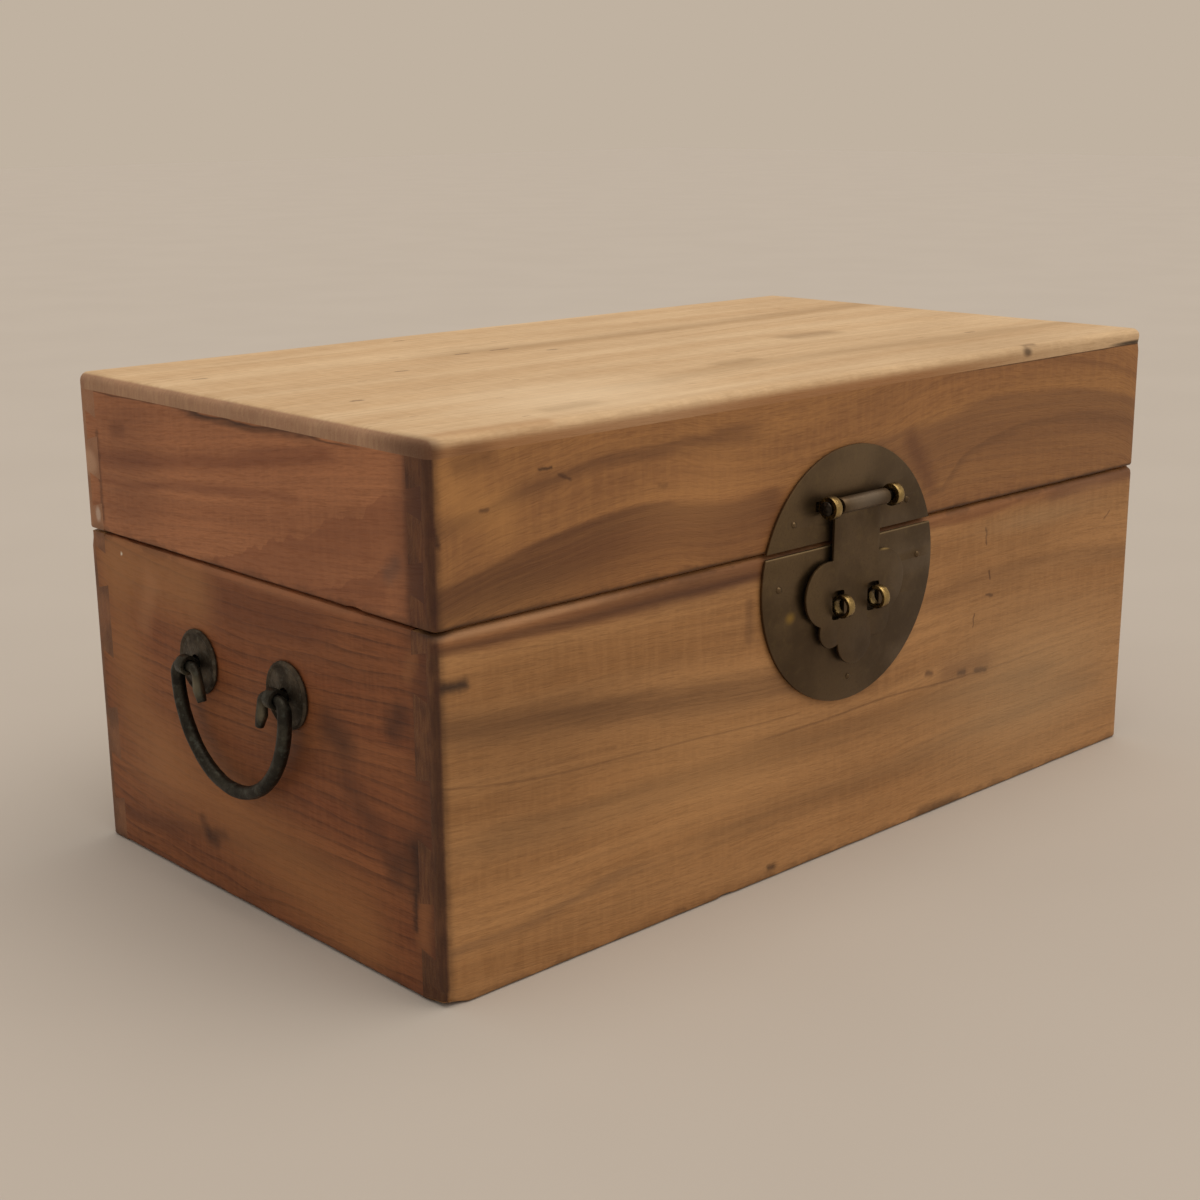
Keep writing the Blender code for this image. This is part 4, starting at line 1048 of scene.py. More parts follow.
# Streaks and marks of the top, along X and back along Y
TOP_DASH_LEFT = Mark(start=(-67, 41.5), end=(-61, 41.3), width=1.2, tone="#4C3723", strength=0.8)
TOP_DASH_RIGHT = Mark(start=(-49, 41.2), end=(-41, 40.4), width=1.2, tone="#4C3723", strength=0.8)
TOP_STAIN_RIGHT = Mark(start=(70, -18), end=(92, -19), width=12.0, tone="#8A6A46", strength=0.5)
TOP_STAIN_MIDDLE = Mark(start=(-14, -56), end=(4, -55), width=9.0, tone="#94744C", strength=0.45)
TOP_STAIN_CORNER = Mark(start=(-134, -92), end=(-116, -91), width=9.0, tone="#94744C", strength=0.5)
TOP_EDGE_DARK = Mark(start=(114, -107), end=(120, -107), width=3.0, tone="#5A4028", strength=0.6)
TOP_SPECKS = tuple(
    Mark(start=(x, y), end=(x + 2.2, y - 0.4), width=1.0, tone="#80583A", strength=0.5)
    for x, y in (
        (-176, -70), (-168, -28), (-150, -96), (-140, 8), (-131, -60), (-120, -86), (-98, -30),
        (-92, 52), (-60, -84), (-30, 64), (18, -34), (60, 70), (104, -60), (150, 60), (168, -20),
    )
)
TOP_FLECKS = tuple(
    Mark(start=(x, y), end=(x + 4.0, y - 0.8), width=1.6, tone="#5E4028", strength=0.65)
    for x, y in ((-180, 57), (-170, -29), (-114, 19), (-58, 95), (-32, 25), (134, -63))
)
TOP_CORNER_STAIN = Mark(start=(-192, -104), end=(-150, -107), width=6.0, tone="#A97C50", strength=0.5)
TOP_BACK_SHADE = Streak(
    path=((-60, 44), (20, 40), (110, 42), (190, 45)),
    above=14.0, below=12.0, tone="#9C7A52", strength=0.5, taper=40.0,
)
TOP_FRONT_SHADE = Streak(
    path=((-60, -72), (20, -66), (110, -70), (190, -72)),
    above=12.0, below=10.0, tone="#A5835A", strength=0.5, taper=50.0,
)

# Streaks and marks of the lid's left end, along Y from front to back and up Z
SAP_EDGE = Streak(
    path=(
        (-97, 169), (-78, 165), (-73, 160.5), (-54, 157), (-48, 151), (-27, 146), (-6, 138), (3, 135.5),
        (18, 130.5),
    ),
    above=0.7, below=40.0, tone="#844E32", strength=0.5, taper=6.0, ragged=0.7, toothed=True,
)
SAP_LOWER = Streak(
    path=((-83, 144), (-63, 136), (-41, 129)),
    above=0.7, below=30.0, tone="#7A472D", strength=0.45, taper=6.0, ragged=0.5, toothed=True,
)
END_BAND_UPPER = Streak(
    path=((-52, 178), (-4, 170), (37, 164), (92, 157)),
    above=5.0, below=5.0, tone="#7A452C", strength=0.6, taper=14.0,
)
END_BAND_LOWER = Streak(
    path=((-30, 162), (11, 157.5), (55, 153), (93, 149.5)),
    above=3.0, below=3.5, tone="#7E4A30", strength=0.55, taper=14.0,
)
END_BLUE_STAIN = Mark(start=(-91, 148), end=(-87, 144), width=6.0, tone="#54423C", strength=0.5)
END_KNOT_UPPER = Mark(start=(78, 171), end=(84, 170), width=6.0, tone="#6A3C26", strength=0.5)
LID_CORNER_SHADE = Mark(start=(-106, 184), end=(-106, 128), width=20.0, tone="#55301F", strength=0.9)
LID_JOINT_DIRT = Streak(
    path=((-40, 182.9), (0, 182.9), (24, 182.9)),
    above=1.5, below=3.0, tone="#3A2115", strength=0.75, taper=14.0,
)
LID_JOINT_LINE = Streak(
    path=((-60, 183.3), (20, 183.3), (108, 183.3)),
    above=0.7, below=0.9, tone="#3E2417", strength=0.7, taper=20.0,
)
LID_TAIL_EDGE = Mark(start=(97.2, 168), end=(97.2, 133), width=2.2, tone="#4A2A1C", strength=0.55)

# Streaks and marks of the base's left end, along Y from front to back and up Z
END_DARK_BAND = Streak(
    path=((-40, 32), (-11, 28.5), (36, 21), (96, 13)),
    above=5.0, below=6.0, tone="#5F3620", strength=0.62, taper=20.0,
)
END_FLOW_BAND = Streak(
    path=((-91, 38.6), (-28, 35), (17, 34.5), (98, 31.5)),
    above=0.8, below=3.0, tone="#5C341E", strength=0.45, ragged=0.4,
)
END_BACK_BAND = Streak(
    path=((0, 44), (37, 45), (66, 47), (101, 53)),
    above=0.8, below=3.0, tone="#5C341E", strength=0.45, ragged=0.4,
)
END_BEND = Mark(start=(-60, 66), end=(-84, 44), width=10.0, tone="#55301D", strength=0.5)
END_KNOT = Mark(start=(33, 20.5), end=(29, 20), width=6.0, tone="#3A2014", strength=0.7)
END_KNOT_TAIL = Mark(start=(37.5, 26), end=(33, 21.5), width=4.0, tone="#44271A", strength=0.5)
END_KNOT_SIDE = Mark(start=(27, 23.5), end=(22, 24), width=4.5, tone="#4C2B1B", strength=0.4)
END_FLAME = Mark(start=(64, 114), end=(71, 97), width=9.0, tone="#BA855A", strength=0.3)
END_BLOTCH_MIDDLE = Mark(start=(-58, 80), end=(-50, 84), width=12.0, tone="#482818", strength=0.7)
END_BLOTCH_FRONT = Mark(start=(-90, 97), end=(-86, 92), width=9.0, tone="#422417", strength=0.7)
END_BLOTCH_LOW = Mark(start=(-92, 50), end=(-86, 42), width=11.0, tone="#432618", strength=0.6)
END_SHADE_TOP = Mark(start=(-40, 119), end=(18, 116), width=22.0, tone="#6A3A22", strength=0.5)
END_GLOW = Mark(start=(92, 119), end=(34, 117), width=24.0, tone="#B07C4C", strength=0.5)
END_GLOW_LOW = Mark(start=(90, 106), end=(84, 62), width=26.0, tone="#A87343", strength=0.45)
END_FOOT_GLOW = Mark(start=(-62, 14), end=(60, 46), width=30.0, tone="#B07846", strength=0.5)
END_WHITE_DOT = Mark(start=(85, 122), end=(85.5, 122), width=1.1, tone="#E6DCC8", strength=0.9)
END_CORNER_CHIP = Mark(start=(-97.5, 53), end=(-97.5, 38), width=8.0, tone="#2E1A11", strength=0.8)
END_TAIL_LOWER = Mark(start=(-100, 34), end=(-99, 21), width=7.0, tone="#A2693E", strength=0.5)
END_TAIL_CRACK = Mark(start=(-95.5, 36), end=(-94.5, 24), width=2.2, tone="#2E1A11", strength=0.7)
BASE_CORNER_SHADE = Mark(start=(-107, 128), end=(-107, 0), width=19.0, tone="#4E2B1B", strength=0.75)
END_TAIL_UPPER = Mark(start=(-98, 119), end=(-95, 112), width=5.0, tone="#A06A40", strength=0.4)

# Places where hands, damp and light have changed a board's tone, and where a highlight on a rounded
# lip or shade in the seam and open joints is painted
BASE_ARRIS = Zone(centre=(-201, -110.5, 64), reach=(6.5, 6.5, 300), tone="#3A2318", strength=0.6, core=0.2)
LID_ARRIS = Zone(centre=(-201, -110.5, 157), reach=(6.5, 6.5, 300), tone="#3A2318", strength=0.6, core=0.2)
FRONT_DARK = Zone(centre=(-160, -110, 84), reach=(70, 15, 40), tone="#5A3A20", strength=0.28, core=0.0)
FRONT_LIGHT = Zone(centre=(-75, -110, 52), reach=(80, 15, 42), tone="#CB9A63", strength=0.24, core=0.0)
FRONT_BLEACHED = Zone(centre=(125, -110, 40), reach=(110, 15, 62), tone="#BF9F76", strength=0.32, core=0.0)
STRIP_WORN = Zone(centre=(128, -110, 116), reach=(70, 15, 8), tone="#B99A72", strength=0.25, core=0.0)
STRIP_DARK = Zone(centre=(-85, -110, 122.5), reach=(95, 15, 8), tone="#4E3020", strength=0.5, core=0.1)
# Painted highlight on the strip's rounded lip under the seam
STRIP_LIP_HIGHLIGHT = Zone(centre=(-165, -110, 127), reach=(75, 6, 3.0), tone="#C09269", strength=0.55, core=0.2)
STRIP_RIGHT = Zone(centre=(165, -110, 123), reach=(50, 15, 8), tone="#A2744E", strength=0.3, core=0.1)
# Painted shade in the seam's gap at the front-left and back-left corners
SEAM_CORNER_SHADE = Zone(centre=(-198, -107, 128.5), reach=(9, 9, 3.2), tone="#2E1C12", strength=0.8, core=0.3)
BACK_SEAM_SHADE = Zone(centre=(-199, 103, 128.5), reach=(7, 8, 6), tone="#2E1C12", strength=0.75, core=0.2)
LID_PIN_PALE = Zone(centre=(-200, 105, 155), reach=(5, 8, 7), tone="#C79D7D", strength=0.6, core=0.4)
LID_PIN_CHIP = Zone(centre=(-200, 101, 135), reach=(4, 2.5, 4), tone="#D0B8A6", strength=0.6, core=0.4)
LID_CORNER = Zone(centre=(-200, -110, 157), reach=(40, 15.5, 300), tone="#4C2A1B", strength=0.6, core=0.72)
LID_LIGHT = Zone(centre=(-80, -110, 155), reach=(55, 15, 26), tone="#C9925A", strength=0.27, core=0.0)
LID_DARK = Zone(centre=(-155, -110, 138), reach=(75, 15, 13), tone="#4A2D1B", strength=0.28, core=0.0)
LID_BACK_SHADE = Zone(centre=(-200, 74, 158), reach=(15, 44, 40), tone="#552F1E", strength=0.3, core=0.0)
TOP_EDGE_NICK = Zone(centre=(113, -110, 187.5), reach=(4.5, 4, 3), tone="#3E2917", strength=0.75, core=0.2)
# Painted shade in the open joint under the right end of the top's front edge
CORNER_GAP_SHADE = Zone(centre=(192, -110.5, 184.2), reach=(24, 3, 1.5), tone="#1A0F08", strength=0.9, core=0.3)
# Painted highlight on the rounded top arris of the base's left end
END_LIP_HIGHLIGHT = Zone(centre=(-200, -20, 127.5), reach=(7, 100, 4.5), tone="#B87C53", strength=0.5, core=0.2)
TOP_SMUDGE = Zone(centre=(-184, -110, 185), reach=(15, 6, 4), tone="#6A4428", strength=0.5, core=0.1)
END_BACK_LIGHT = Zone(centre=(-200, 74, 38), reach=(15, 44, 30), tone="#B07C50", strength=0.32, core=0.0)
END_MIDDLE_SHADE = Zone(centre=(-200, -15, 74), reach=(15, 80, 26), tone="#33200F", strength=0.2, core=0.0)
TOP_BLEACHED = Zone(centre=(-105, -76, 190), reach=(85, 55, 20), tone="#EFD7B4", strength=0.4, core=0.0)
TOP_TANNED = Zone(centre=(105, -88, 190), reach=(110, 70, 20), tone="#A07C52", strength=0.28, core=0.0)
TOP_CORNER = Zone(centre=(-201, -110, 186), reach=(9, 36, 8), tone="#55341F", strength=0.8, core=0.25)


def camphor(
    name: str, grain: Grain, facing: int, tones: tuple[str, str, str], seed: float, **more: object
) -> CamphorWood:
    """Describe one board's wood.

    Args:
        name: Name of the material.
        grain: How the board lies.
        facing: Sign of its outer face on the axis through the board.
        tones: Its pale, warm and deep sRGB tones.
        seed: Which cut of the tree it comes from.
        more: Other fields of the finish.

    Returns:
        The finish.
    """
    low, high = (LID_LOW, LID_HIGH) if "lid" in name else (BASE_LOW, BASE_HIGH)
    pale, warm, deep = tones
    return CamphorWood(name, grain, facing, pale, warm, deep, low, high, seed, **more)


FRONT_TONES = ("#B98856", "#A47445", "#6E4C2D")
LID_FRONT_TONES = ("#B27F4A", "#9D6C40", "#643F27")
LID_END_TONES = ("#BA7B51", "#A66A44", "#673C26")
# The box's end tones are darker than the lid's: partly the wood's own tone, partly painted shade for the
# box's ends lying in weaker light
BASE_END_TONES = ("#9A5E36", "#844A29", "#4A2815")
TOP_TONES = ("#DFC097", "#D1AE83", "#A07D58")


@dataclass(frozen=True)
class Chip:
    """A knock on an arris: its middle and its reach along X, Y and Z in millimetres, and its depth."""

    middle: Triple
    reach: Triple
    depth: float


@dataclass(frozen=True)
class Crack:
    """A drying crack along the grain of a board's outer face, in millimetres."""

    path: tuple[Point, ...]
    width: float
    depth: float


# Tails lie farther from the middle than this, and their glued faces stand clear of the rims
TAIL_DEPTH = 90.0 * MM
BOX_INSIDE = (1.0 * MM, 127.0 * MM)
LID_INSIDE = (129.5 * MM, 180.0 * MM)


class Joint(Enum):
    """How a board is glued to its neighbours."""

    PLAIN = "plain"
    TAILS = "tails"
    LET_IN = "let in"

    def glues(self, face: bmesh.types.BMFace) -> bool:
        """Say whether a face is glued to another board.

        Args:
            face: A face of the board.

        Returns:
            True where it is.
        """
        if self is Joint.TAILS:
            middle = face.calc_center_median()
            clear = any(low < middle.z < high for low, high in (BOX_INSIDE, LID_INSIDE))
            inside = abs(face.normal.z) < 0.99 or clear
            return abs(face.normal.x) < 0.5 and abs(middle.y) > TAIL_DEPTH and inside
        if self is Joint.LET_IN:
            return face.normal.z < -0.9 or face.normal.y > 0.9
        return False


# An edge of a board is rounded where it lies this close to a rim, is this long and turns by more degrees
RIM_REACH = 0.05 * MM
SHORT_EDGE = 1.2 * MM
BOARD_SHARP = 50.0


@dataclass
class WornBoard:
    """A CAD board with eased, knocked arrises and a face left slightly uneven by the plane."""

    node: str
    wood: CamphorWood
    chips: tuple[Chip, ...] = ()
    cracks: tuple[Crack, ...] = ()
    joint: Joint = Joint.PLAIN
    closing: float = 0.29 * MM
    ease: float = 0.9 * MM
    ease_segments: int = 2
    step: float = 3.3 * MM
    hollow: float = 0.2 * MM
    wear: float = 0.2 * MM
    skin: float = 1.2 * MM
    arris_reach: float = 3.2 * MM
    plane_wave: float = 30.0 * MM
    knock_size: float = 16.0 * MM
    small_knock: float = 6.0 * MM
    chip_grit: float = 3.0 * MM
    crack_tip: tuple[float, float] = (0.04, 0.1)

    def build(self, trunk: PackedTrunk, stroke: Tree) -> bpy.types.Object:
        """Shape the board and dress it.

        Args:
            trunk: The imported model.
            stroke: The node group for soft strokes.

        Returns:
            The piece that stands for the CAD board.
        """
        shape = trunk.merged_copy(self.node)
        self._close_joints(shape)
        self._lift_top_joint(shape)
        self._ease_arrises(shape)
        self._slice(shape)
        self._wear_down(shape)
        finish = bpy.data.materials.get(self.wood.name) or self.wood.build(stroke)
        piece = trunk.stand_for(self.node, shape, finish, "camphor", BOARD_CREASE)
        for crack in self.cracks:
            self._split(piece, crack)
        return piece

    def _close_joints(self, shape: bmesh.types.BMesh) -> None:
        """Bring glued faces together, because the CAD boards stand a gap apart."""
        shape.normal_update()
        moves = []
        for vert in shape.verts:
            glued = [face.normal for face in vert.link_faces if self.joint.glues(face)]
            if not glued:
                continue
            first = glued[0]
            other = next((normal for normal in glued if normal.dot(first) < 0.99), first)
            moves.append((vert, (first + other) * (self.closing / (1.0 + first.dot(other)))))
        for vert, move in moves:
            vert.co += move

    def _lift_top_joint(self, shape: bmesh.types.BMesh) -> None:
        """Close the joint under the top board at the height where it shows."""
        for vert in shape.verts:
            if abs(vert.co.z - CAD_TOP_JOINT * MM) < CAD_JOINT_REACH * MM:
                vert.co.z = TOP_JOINT * MM

    def _ease_arrises(self, shape: bmesh.types.BMesh) -> None:
        """Round the sharp edges at the board's rims, and leave its joints crisp."""
        shape.normal_update()
        rims = (self.wood.low[2] * MM, self.wood.high[2] * MM)
        sharp = []
        for edge in shape.edges:
            at_rim = any(all(abs(vert.co.z - rim) < RIM_REACH for vert in edge.verts) for rim in rims)
            if not at_rim or len(edge.link_faces) != 2 or edge.calc_length() < SHORT_EDGE:
                continue
            glued = any(self.joint.glues(face) for face in edge.link_faces)
            if edge.is_convex and not glued and edge.calc_face_angle() > math.radians(BOARD_SHARP):
                sharp.append(edge)
        bmesh.ops.bevel(
            shape,
            geom=sharp,
            offset=self.ease,
            offset_type="OFFSET",
            segments=self.ease_segments,
            profile=0.5,
            affect="EDGES",
        )

    def _slice(self, shape: bmesh.types.BMesh) -> None:
        """Cut the board's faces into a grid fine enough to wear."""
        for axis in self.wood.grain.value[:2]:
            index = "XYZ".index(axis)
            low = min(vert.co[index] for vert in shape.verts)
            high = max(vert.co[index] for vert in shape.verts)
            normal = Vector([1.0 if place == index else 0.0 for place in range(3)])
            count = int((high - low) / self.step)
            for cut in range(1, count):
                everything = shape.verts[:] + shape.edges[:] + shape.faces[:]
                spot = normal * (low + (high - low) * cut / count)
                bmesh.ops.bisect_plane(
                    shape, geom=everything, dist=CUT_WELD, plane_co=spot, plane_no=normal
                )
        shape.normal_update()

    def _wear_down(self, shape: bmesh.types.BMesh) -> None:
        """Move the outer skin straight in by what planing, handling and knocks took off."""
        low, high = Vector(self.wood.low) * MM, Vector(self.wood.high) * MM
        middle = (low + high) / 2
        for vert in shape.verts:
            place = vert.co.copy()
            gaps = [min(place[i] - low[i], high[i] - place[i]) for i in range(3)]
            nearest, second = sorted(gaps)[:2]
            if nearest > self.skin:
                continue
            inward = Vector((0.0, 0.0, 0.0))
            for i, gap in enumerate(gaps):
                inward[i] = math.copysign(max(0.0, 1.0 - gap / self.skin), middle[i] - place[i])
            seeded = place + Vector((self.wood.seed, 0.0, 0.0))
            depth = self.hollow * (0.5 + 0.5 * noise.noise(place / self.plane_wave))
            small = 0.4 * noise.noise(seeded / self.small_knock)
            rough = max(0.0, 0.4 + noise.noise(seeded / self.knock_size) + small)
            depth += self.wear * rough * max(0.0, 1.0 - second / self.arris_reach) ** 2
            for chip in self.chips:
                away = [(place[i] / MM - chip.middle[i]) / chip.reach[i] for i in range(3)]
                near = max(0.0, 1.0 - math.hypot(*away))
                grit = 0.75 + 0.4 * noise.noise(seeded / self.chip_grit)
                depth += chip.depth * MM * min(1.0, 2.0 * near) * grit
            vert.co = place + inward.normalized() * depth

    def _split(self, piece: bpy.types.Object, crack: Crack) -> None:
        """Cut a crack into the finished board.

        Args:
            piece: The board.
            crack: Where the crack runs, its width and its depth.
        """
        wood = self.wood
        index = "XYZ".index(wood.grain.value[2])
        surface = wood.high[index] if wood.facing > 0 else wood.low[index]
        cutter = bmesh.new()
        rows = []
        last = len(crack.path) - 1
        for place, (along, across) in enumerate(crack.path):
            half, deep = (crack.width / 2, crack.depth) if 0 < place < last else self.crack_tip
            outer, inner = surface + wood.facing * 1.0, surface - wood.facing * deep
            corners = ((across - half, outer), (across + half, outer), (across + 0.2 * half, inner))
            spots = [wood.grain.spot(along, side, level) * MM for side, level in corners]
            rows.append([cutter.verts.new(spot) for spot in spots])
        for before, after in zip(rows, rows[1:]):
            for side in range(3):
                turn = (side + 1) % 3
                cutter.faces.new((before[side], before[turn], after[turn], after[side]))
        cutter.faces.new(rows[0])
        cutter.faces.new(rows[-1])
        bmesh.ops.recalc_face_normals(cutter, faces=cutter.faces)
        mesh = bpy.data.meshes.new("crack")
        cutter.to_mesh(mesh)
        cutter.free()
        tool = new_object("crack", mesh)
        cut = piece.modifiers.new("crack", "BOOLEAN")
        cut.object = tool
        cut.operation = "DIFFERENCE"
        cut.solver = "EXACT"
        result = finished_mesh(piece)
        cracked = bmesh.new()
        cracked.from_mesh(result)
        crease_edges(cracked, BOARD_CREASE)
        cracked.to_mesh(result)
        cracked.free()
        result.name = piece.data.name
        piece.data = result
        piece.data.materials.clear()
        piece.data.materials.append(bpy.data.materials[wood.name])
        bpy.data.objects.remove(tool)


@dataclass
class Box:
    """The dovetailed box: four walls, the bottom and the strip let into the front wall under the seam."""

    crack_width: float = 0.22
    crack_depth: float = 0.5
    strip_ease: float = 3.0 * MM
    end_ease: float = 1.5 * MM

    def boards(self) -> list[WornBoard]:
        """Describe the boards.

        Returns:
            The boards with their wood, knocks and cracks.
        """
        front_streaks = (
            GREY_UPPER, GREY_MIDDLE, GREY_LOWER, GREY_RIGHT, FRONT_DASHES, FRONT_LINE, CRACK_SHADE,
            STRIP_TONE, STRIP_UNDER_LIP_SHADE, STRIP_SHADE, GREY_FOOT, PLATE_SEAM,
        )
        front_marks = (
            KNOT_HALO, KNOT_LEFT, KNOT_MIDDLE, KNOT_RIGHT, CORNER_PLUG, FRONT_CHIP, FRONT_SCRATCH,
            FRONT_FOOT_STAIN, PLATE_GRIME, NICK_TOP, NICK_MIDDLE, NICK_LOWER, NICK_LEFT,
        )
        front_zones = (
            FRONT_DARK, FRONT_LIGHT, FRONT_BLEACHED, STRIP_WORN, STRIP_DARK, STRIP_LIP_HIGHLIGHT, STRIP_RIGHT,
            BASE_ARRIS, SEAM_CORNER_SHADE,
        )
        front_flow = ((-200.0, 10.0), (-100.0, 4.0), (0.0, 0.0), (100.0, 2.0), (200.0, 0.0))
        front = camphor(
            "base_front_camphor", Grain.FRONT, -1, FRONT_TONES, 1.3,
            flow=front_flow, streaks=front_streaks, marks=front_marks, zones=front_zones,
        )
        back = camphor("base_back_camphor", Grain.FRONT, 1, FRONT_TONES, 4.1, end_tone="#7F5138")
        bottom = camphor("base_bottom_camphor", Grain.TOP, -1, FRONT_TONES, 6.7)
        end_flow = ((-110.0, 6.0), (-30.0, 2.0), (20.0, 0.0), (70.0, 2.0), (110.0, 8.0))
        left_marks = (
            END_FOOT_GLOW, END_SHADE_TOP, END_BLOTCH_MIDDLE, END_BLOTCH_FRONT, END_GLOW, END_GLOW_LOW,
            END_FLAME, END_KNOT, END_KNOT_TAIL, END_KNOT_SIDE, END_WHITE_DOT, BASE_CORNER_SHADE,
            END_CORNER_CHIP, END_TAIL_UPPER, END_TAIL_LOWER, END_TAIL_CRACK, END_BLOTCH_LOW, END_BEND,
        )
        left_streaks = (END_DARK_BAND, END_FLOW_BAND, END_BACK_BAND)
        left_zones = (END_MIDDLE_SHADE, END_BACK_LIGHT, END_LIP_HIGHLIGHT, BASE_ARRIS, SEAM_CORNER_SHADE, BACK_SEAM_SHADE)
        left = camphor(
            "base_left_camphor", Grain.END, -1, BASE_END_TONES, 3.4,
            flow=end_flow, ring_strength=0.75, streaks=left_streaks, marks=left_marks, zones=left_zones,
        )
        right = camphor(
            "base_right_camphor", Grain.END, 1, BASE_END_TONES, 8.9, flow=end_flow, ring_strength=0.5
        )
        crack_path = ((-37.0, 57.0), (-9.0, 57.0), (27.0, 57.5), (57.0, 56.0), (92.0, 55.0), (126.0, 55.0))
        crack = Crack(crack_path, self.crack_width, self.crack_depth)
        foot_chip = Chip((-40.0, -110.0, 4.3), (4.0, 3.0, 2.5), 0.9)
        foot_corner = Chip((-200.0, -110.0, 0.0), (9.0, 9.0, 8.0), 2.2)
        foot_notch = Chip((-67.0, -110.0, 0.0), (4.0, 3.0, 2.0), 0.9)
        corner_chip = Chip((-200.0, -97.0, 46.0), (2.0, 5.0, 9.0), 0.9)
        back_chip = Chip((-200.0, 109.0, 128.0), (6.0, 6.0, 6.0), 0.8)
        left_chips = (corner_chip, back_chip, foot_corner)
        return [
            WornBoard("front_board", front, (foot_chip, foot_notch, foot_corner), (crack,)),
            WornBoard("back_board", back, (back_chip,)),
            WornBoard("bottom_board", bottom),
            WornBoard("front_rim_strip", front, joint=Joint.LET_IN, ease=self.strip_ease, ease_segments=4),
            WornBoard("left_end_board", left, left_chips, joint=Joint.TAILS, ease=self.end_ease),
            WornBoard("right_end_board", right, joint=Joint.TAILS, ease=self.end_ease),
        ]


@dataclass
class Lid:
    """The dovetailed lid: four walls and the top board laid on them."""

    crack_width: float = 0.7
    crack_depth: float = 1.6
    wall_ease: float = 1.3 * MM
    top_wear: float = 0.05 * MM

    def boards(self) -> list[WornBoard]:
        """Describe the boards.

        Returns:
            The boards with their wood, knocks and cracks.
        """
        streaks = (
            LID_UNDER, LID_SWEEP, LID_HAZE, LID_ARCH, LID_INNER_ARCH, LID_RIGHT_LINE, LID_TOP_LINE,
            FRONT_SEAM, PLATE_SEAM,
        )
        marks = (
            LID_GLOW, LID_SPOT, LID_TICK_LONG, LID_TICK_SLANT, LID_TICK_LEFT, LID_TICK_MIDDLE, LID_SMUDGE,
            LID_CORNER_KNOT,
        )
        sweep = (
            (-200.0, -8.0), (-150.0, 2.0), (-105.0, 6.0), (-60.0, 1.0),
            (0.0, 4.0), (95.0, 16.0), (200.0, 2.0),
        )
        front = camphor(
            "lid_front_camphor", Grain.FRONT, -1, LID_FRONT_TONES, 5.2,
            flow=sweep, streaks=streaks, marks=marks, zones=(LID_LIGHT, LID_DARK, LID_ARRIS, CORNER_GAP_SHADE),
        )
        back = camphor(
            "lid_back_camphor", Grain.FRONT, 1, LID_FRONT_TONES, 7.7,
            end_tone="#A8785A", end_stain=0.2, zones=(LID_PIN_PALE, LID_PIN_CHIP),
        )
        slope = ((-110.0, 14.0), (-30.0, 6.0), (30.0, 0.0), (110.0, -6.0))
        left_streaks = (
            SAP_EDGE, SAP_LOWER, END_BAND_UPPER, END_BAND_LOWER, LID_JOINT_DIRT, LID_JOINT_LINE, END_SEAM,
        )
        left_marks = (END_BLUE_STAIN, END_KNOT_UPPER, LID_CORNER_SHADE, LID_TAIL_EDGE)
        left = camphor(
            "lid_left_camphor", Grain.END, -1, LID_END_TONES, 9.5, flow=slope, streaks=left_streaks,
            marks=left_marks, zones=(LID_BACK_SHADE, LID_CORNER, LID_ARRIS),
        )
        right = camphor("lid_right_camphor", Grain.END, 1, LID_END_TONES, 2.9, flow=slope)
        top_marks = (
            TOP_DASH_LEFT, TOP_DASH_RIGHT, TOP_STAIN_RIGHT, TOP_STAIN_MIDDLE, TOP_STAIN_CORNER,
            TOP_EDGE_DARK, TOP_CORNER_STAIN, *TOP_SPECKS, *TOP_FLECKS,
        )
        top_zones = (TOP_BLEACHED, TOP_TANNED, TOP_SMUDGE, TOP_CORNER, TOP_EDGE_NICK, CORNER_GAP_SHADE)
        top = camphor(
            "lid_top_camphor", Grain.TOP, 1, TOP_TONES, 0.6,
            end_tone="#A1765B", end_stain=0.1, grime=0.07, roughness=0.6, edge_tone="#9A673B",
            streaks=(TOP_BACK_SHADE, TOP_FRONT_SHADE), marks=top_marks, zones=top_zones,
        )
        crack_path = ((12.0, 15.5), (51.0, 19.0), (89.0, 23.5), (113.0, 24.0), (138.0, 25.5), (162.0, 26.0))
        crack = Crack(crack_path, self.crack_width, self.crack_depth)
        corner_gap = Chip((194.0, -110.0, 183.7), (22.0, 3.0, 1.5), 0.7)
        seam_chip = Chip((-200.0, -66.0, 128.5), (3.0, 4.0, 2.5), 0.7)
        return [
            WornBoard("lid_front_board", front, (corner_gap,), ease=self.wall_ease),
            WornBoard("lid_back_board", back),
            WornBoard("lid_left_end_board", left, (seam_chip,), joint=Joint.TAILS, ease=self.wall_ease),
            WornBoard("lid_right_end_board", right, joint=Joint.TAILS, ease=self.wall_ease),
            WornBoard("lid_top_board", top, (corner_gap,), (crack,), wear=self.top_wear),
        ]


@dataclass
class Lock:
    """The round split plate, the hasp on its pin and the ring staples."""

    plate_ease: float = 0.3 * MM
    ring_ease: float = 0.4 * MM
    ring_width: float = 0.8
    pin_ease: float = 0.2 * MM

    def build(
        self,
        trunk: PackedTrunk,
        plate: bpy.types.Material,
        ring: bpy.types.Material,
        iron: bpy.types.Material,
    ) -> None:
        """Dress the lock.

        Args:
            trunk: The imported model.
            plate: The sheet brass.
            ring: The handled brass.
            iron: The dark iron of the pin.
        """
        for node in ("lock_plate_lower", "lock_plate_upper"):
            ease_metal(trunk, node, plate, self.plate_ease, "brass")
        ease_metal(trunk, "hasp", plate, self.plate_ease, "brass", cuts=trunk.middles("staple_"))
        for node in ("staple_left", "staple_right", "hasp_eye_left", "hasp_eye_right"):
            ease_metal(trunk, node, ring, self.ring_ease, "brass", self.ring_width)
        ease_metal(trunk, "hasp_pin", iron, self.pin_ease, "iron")


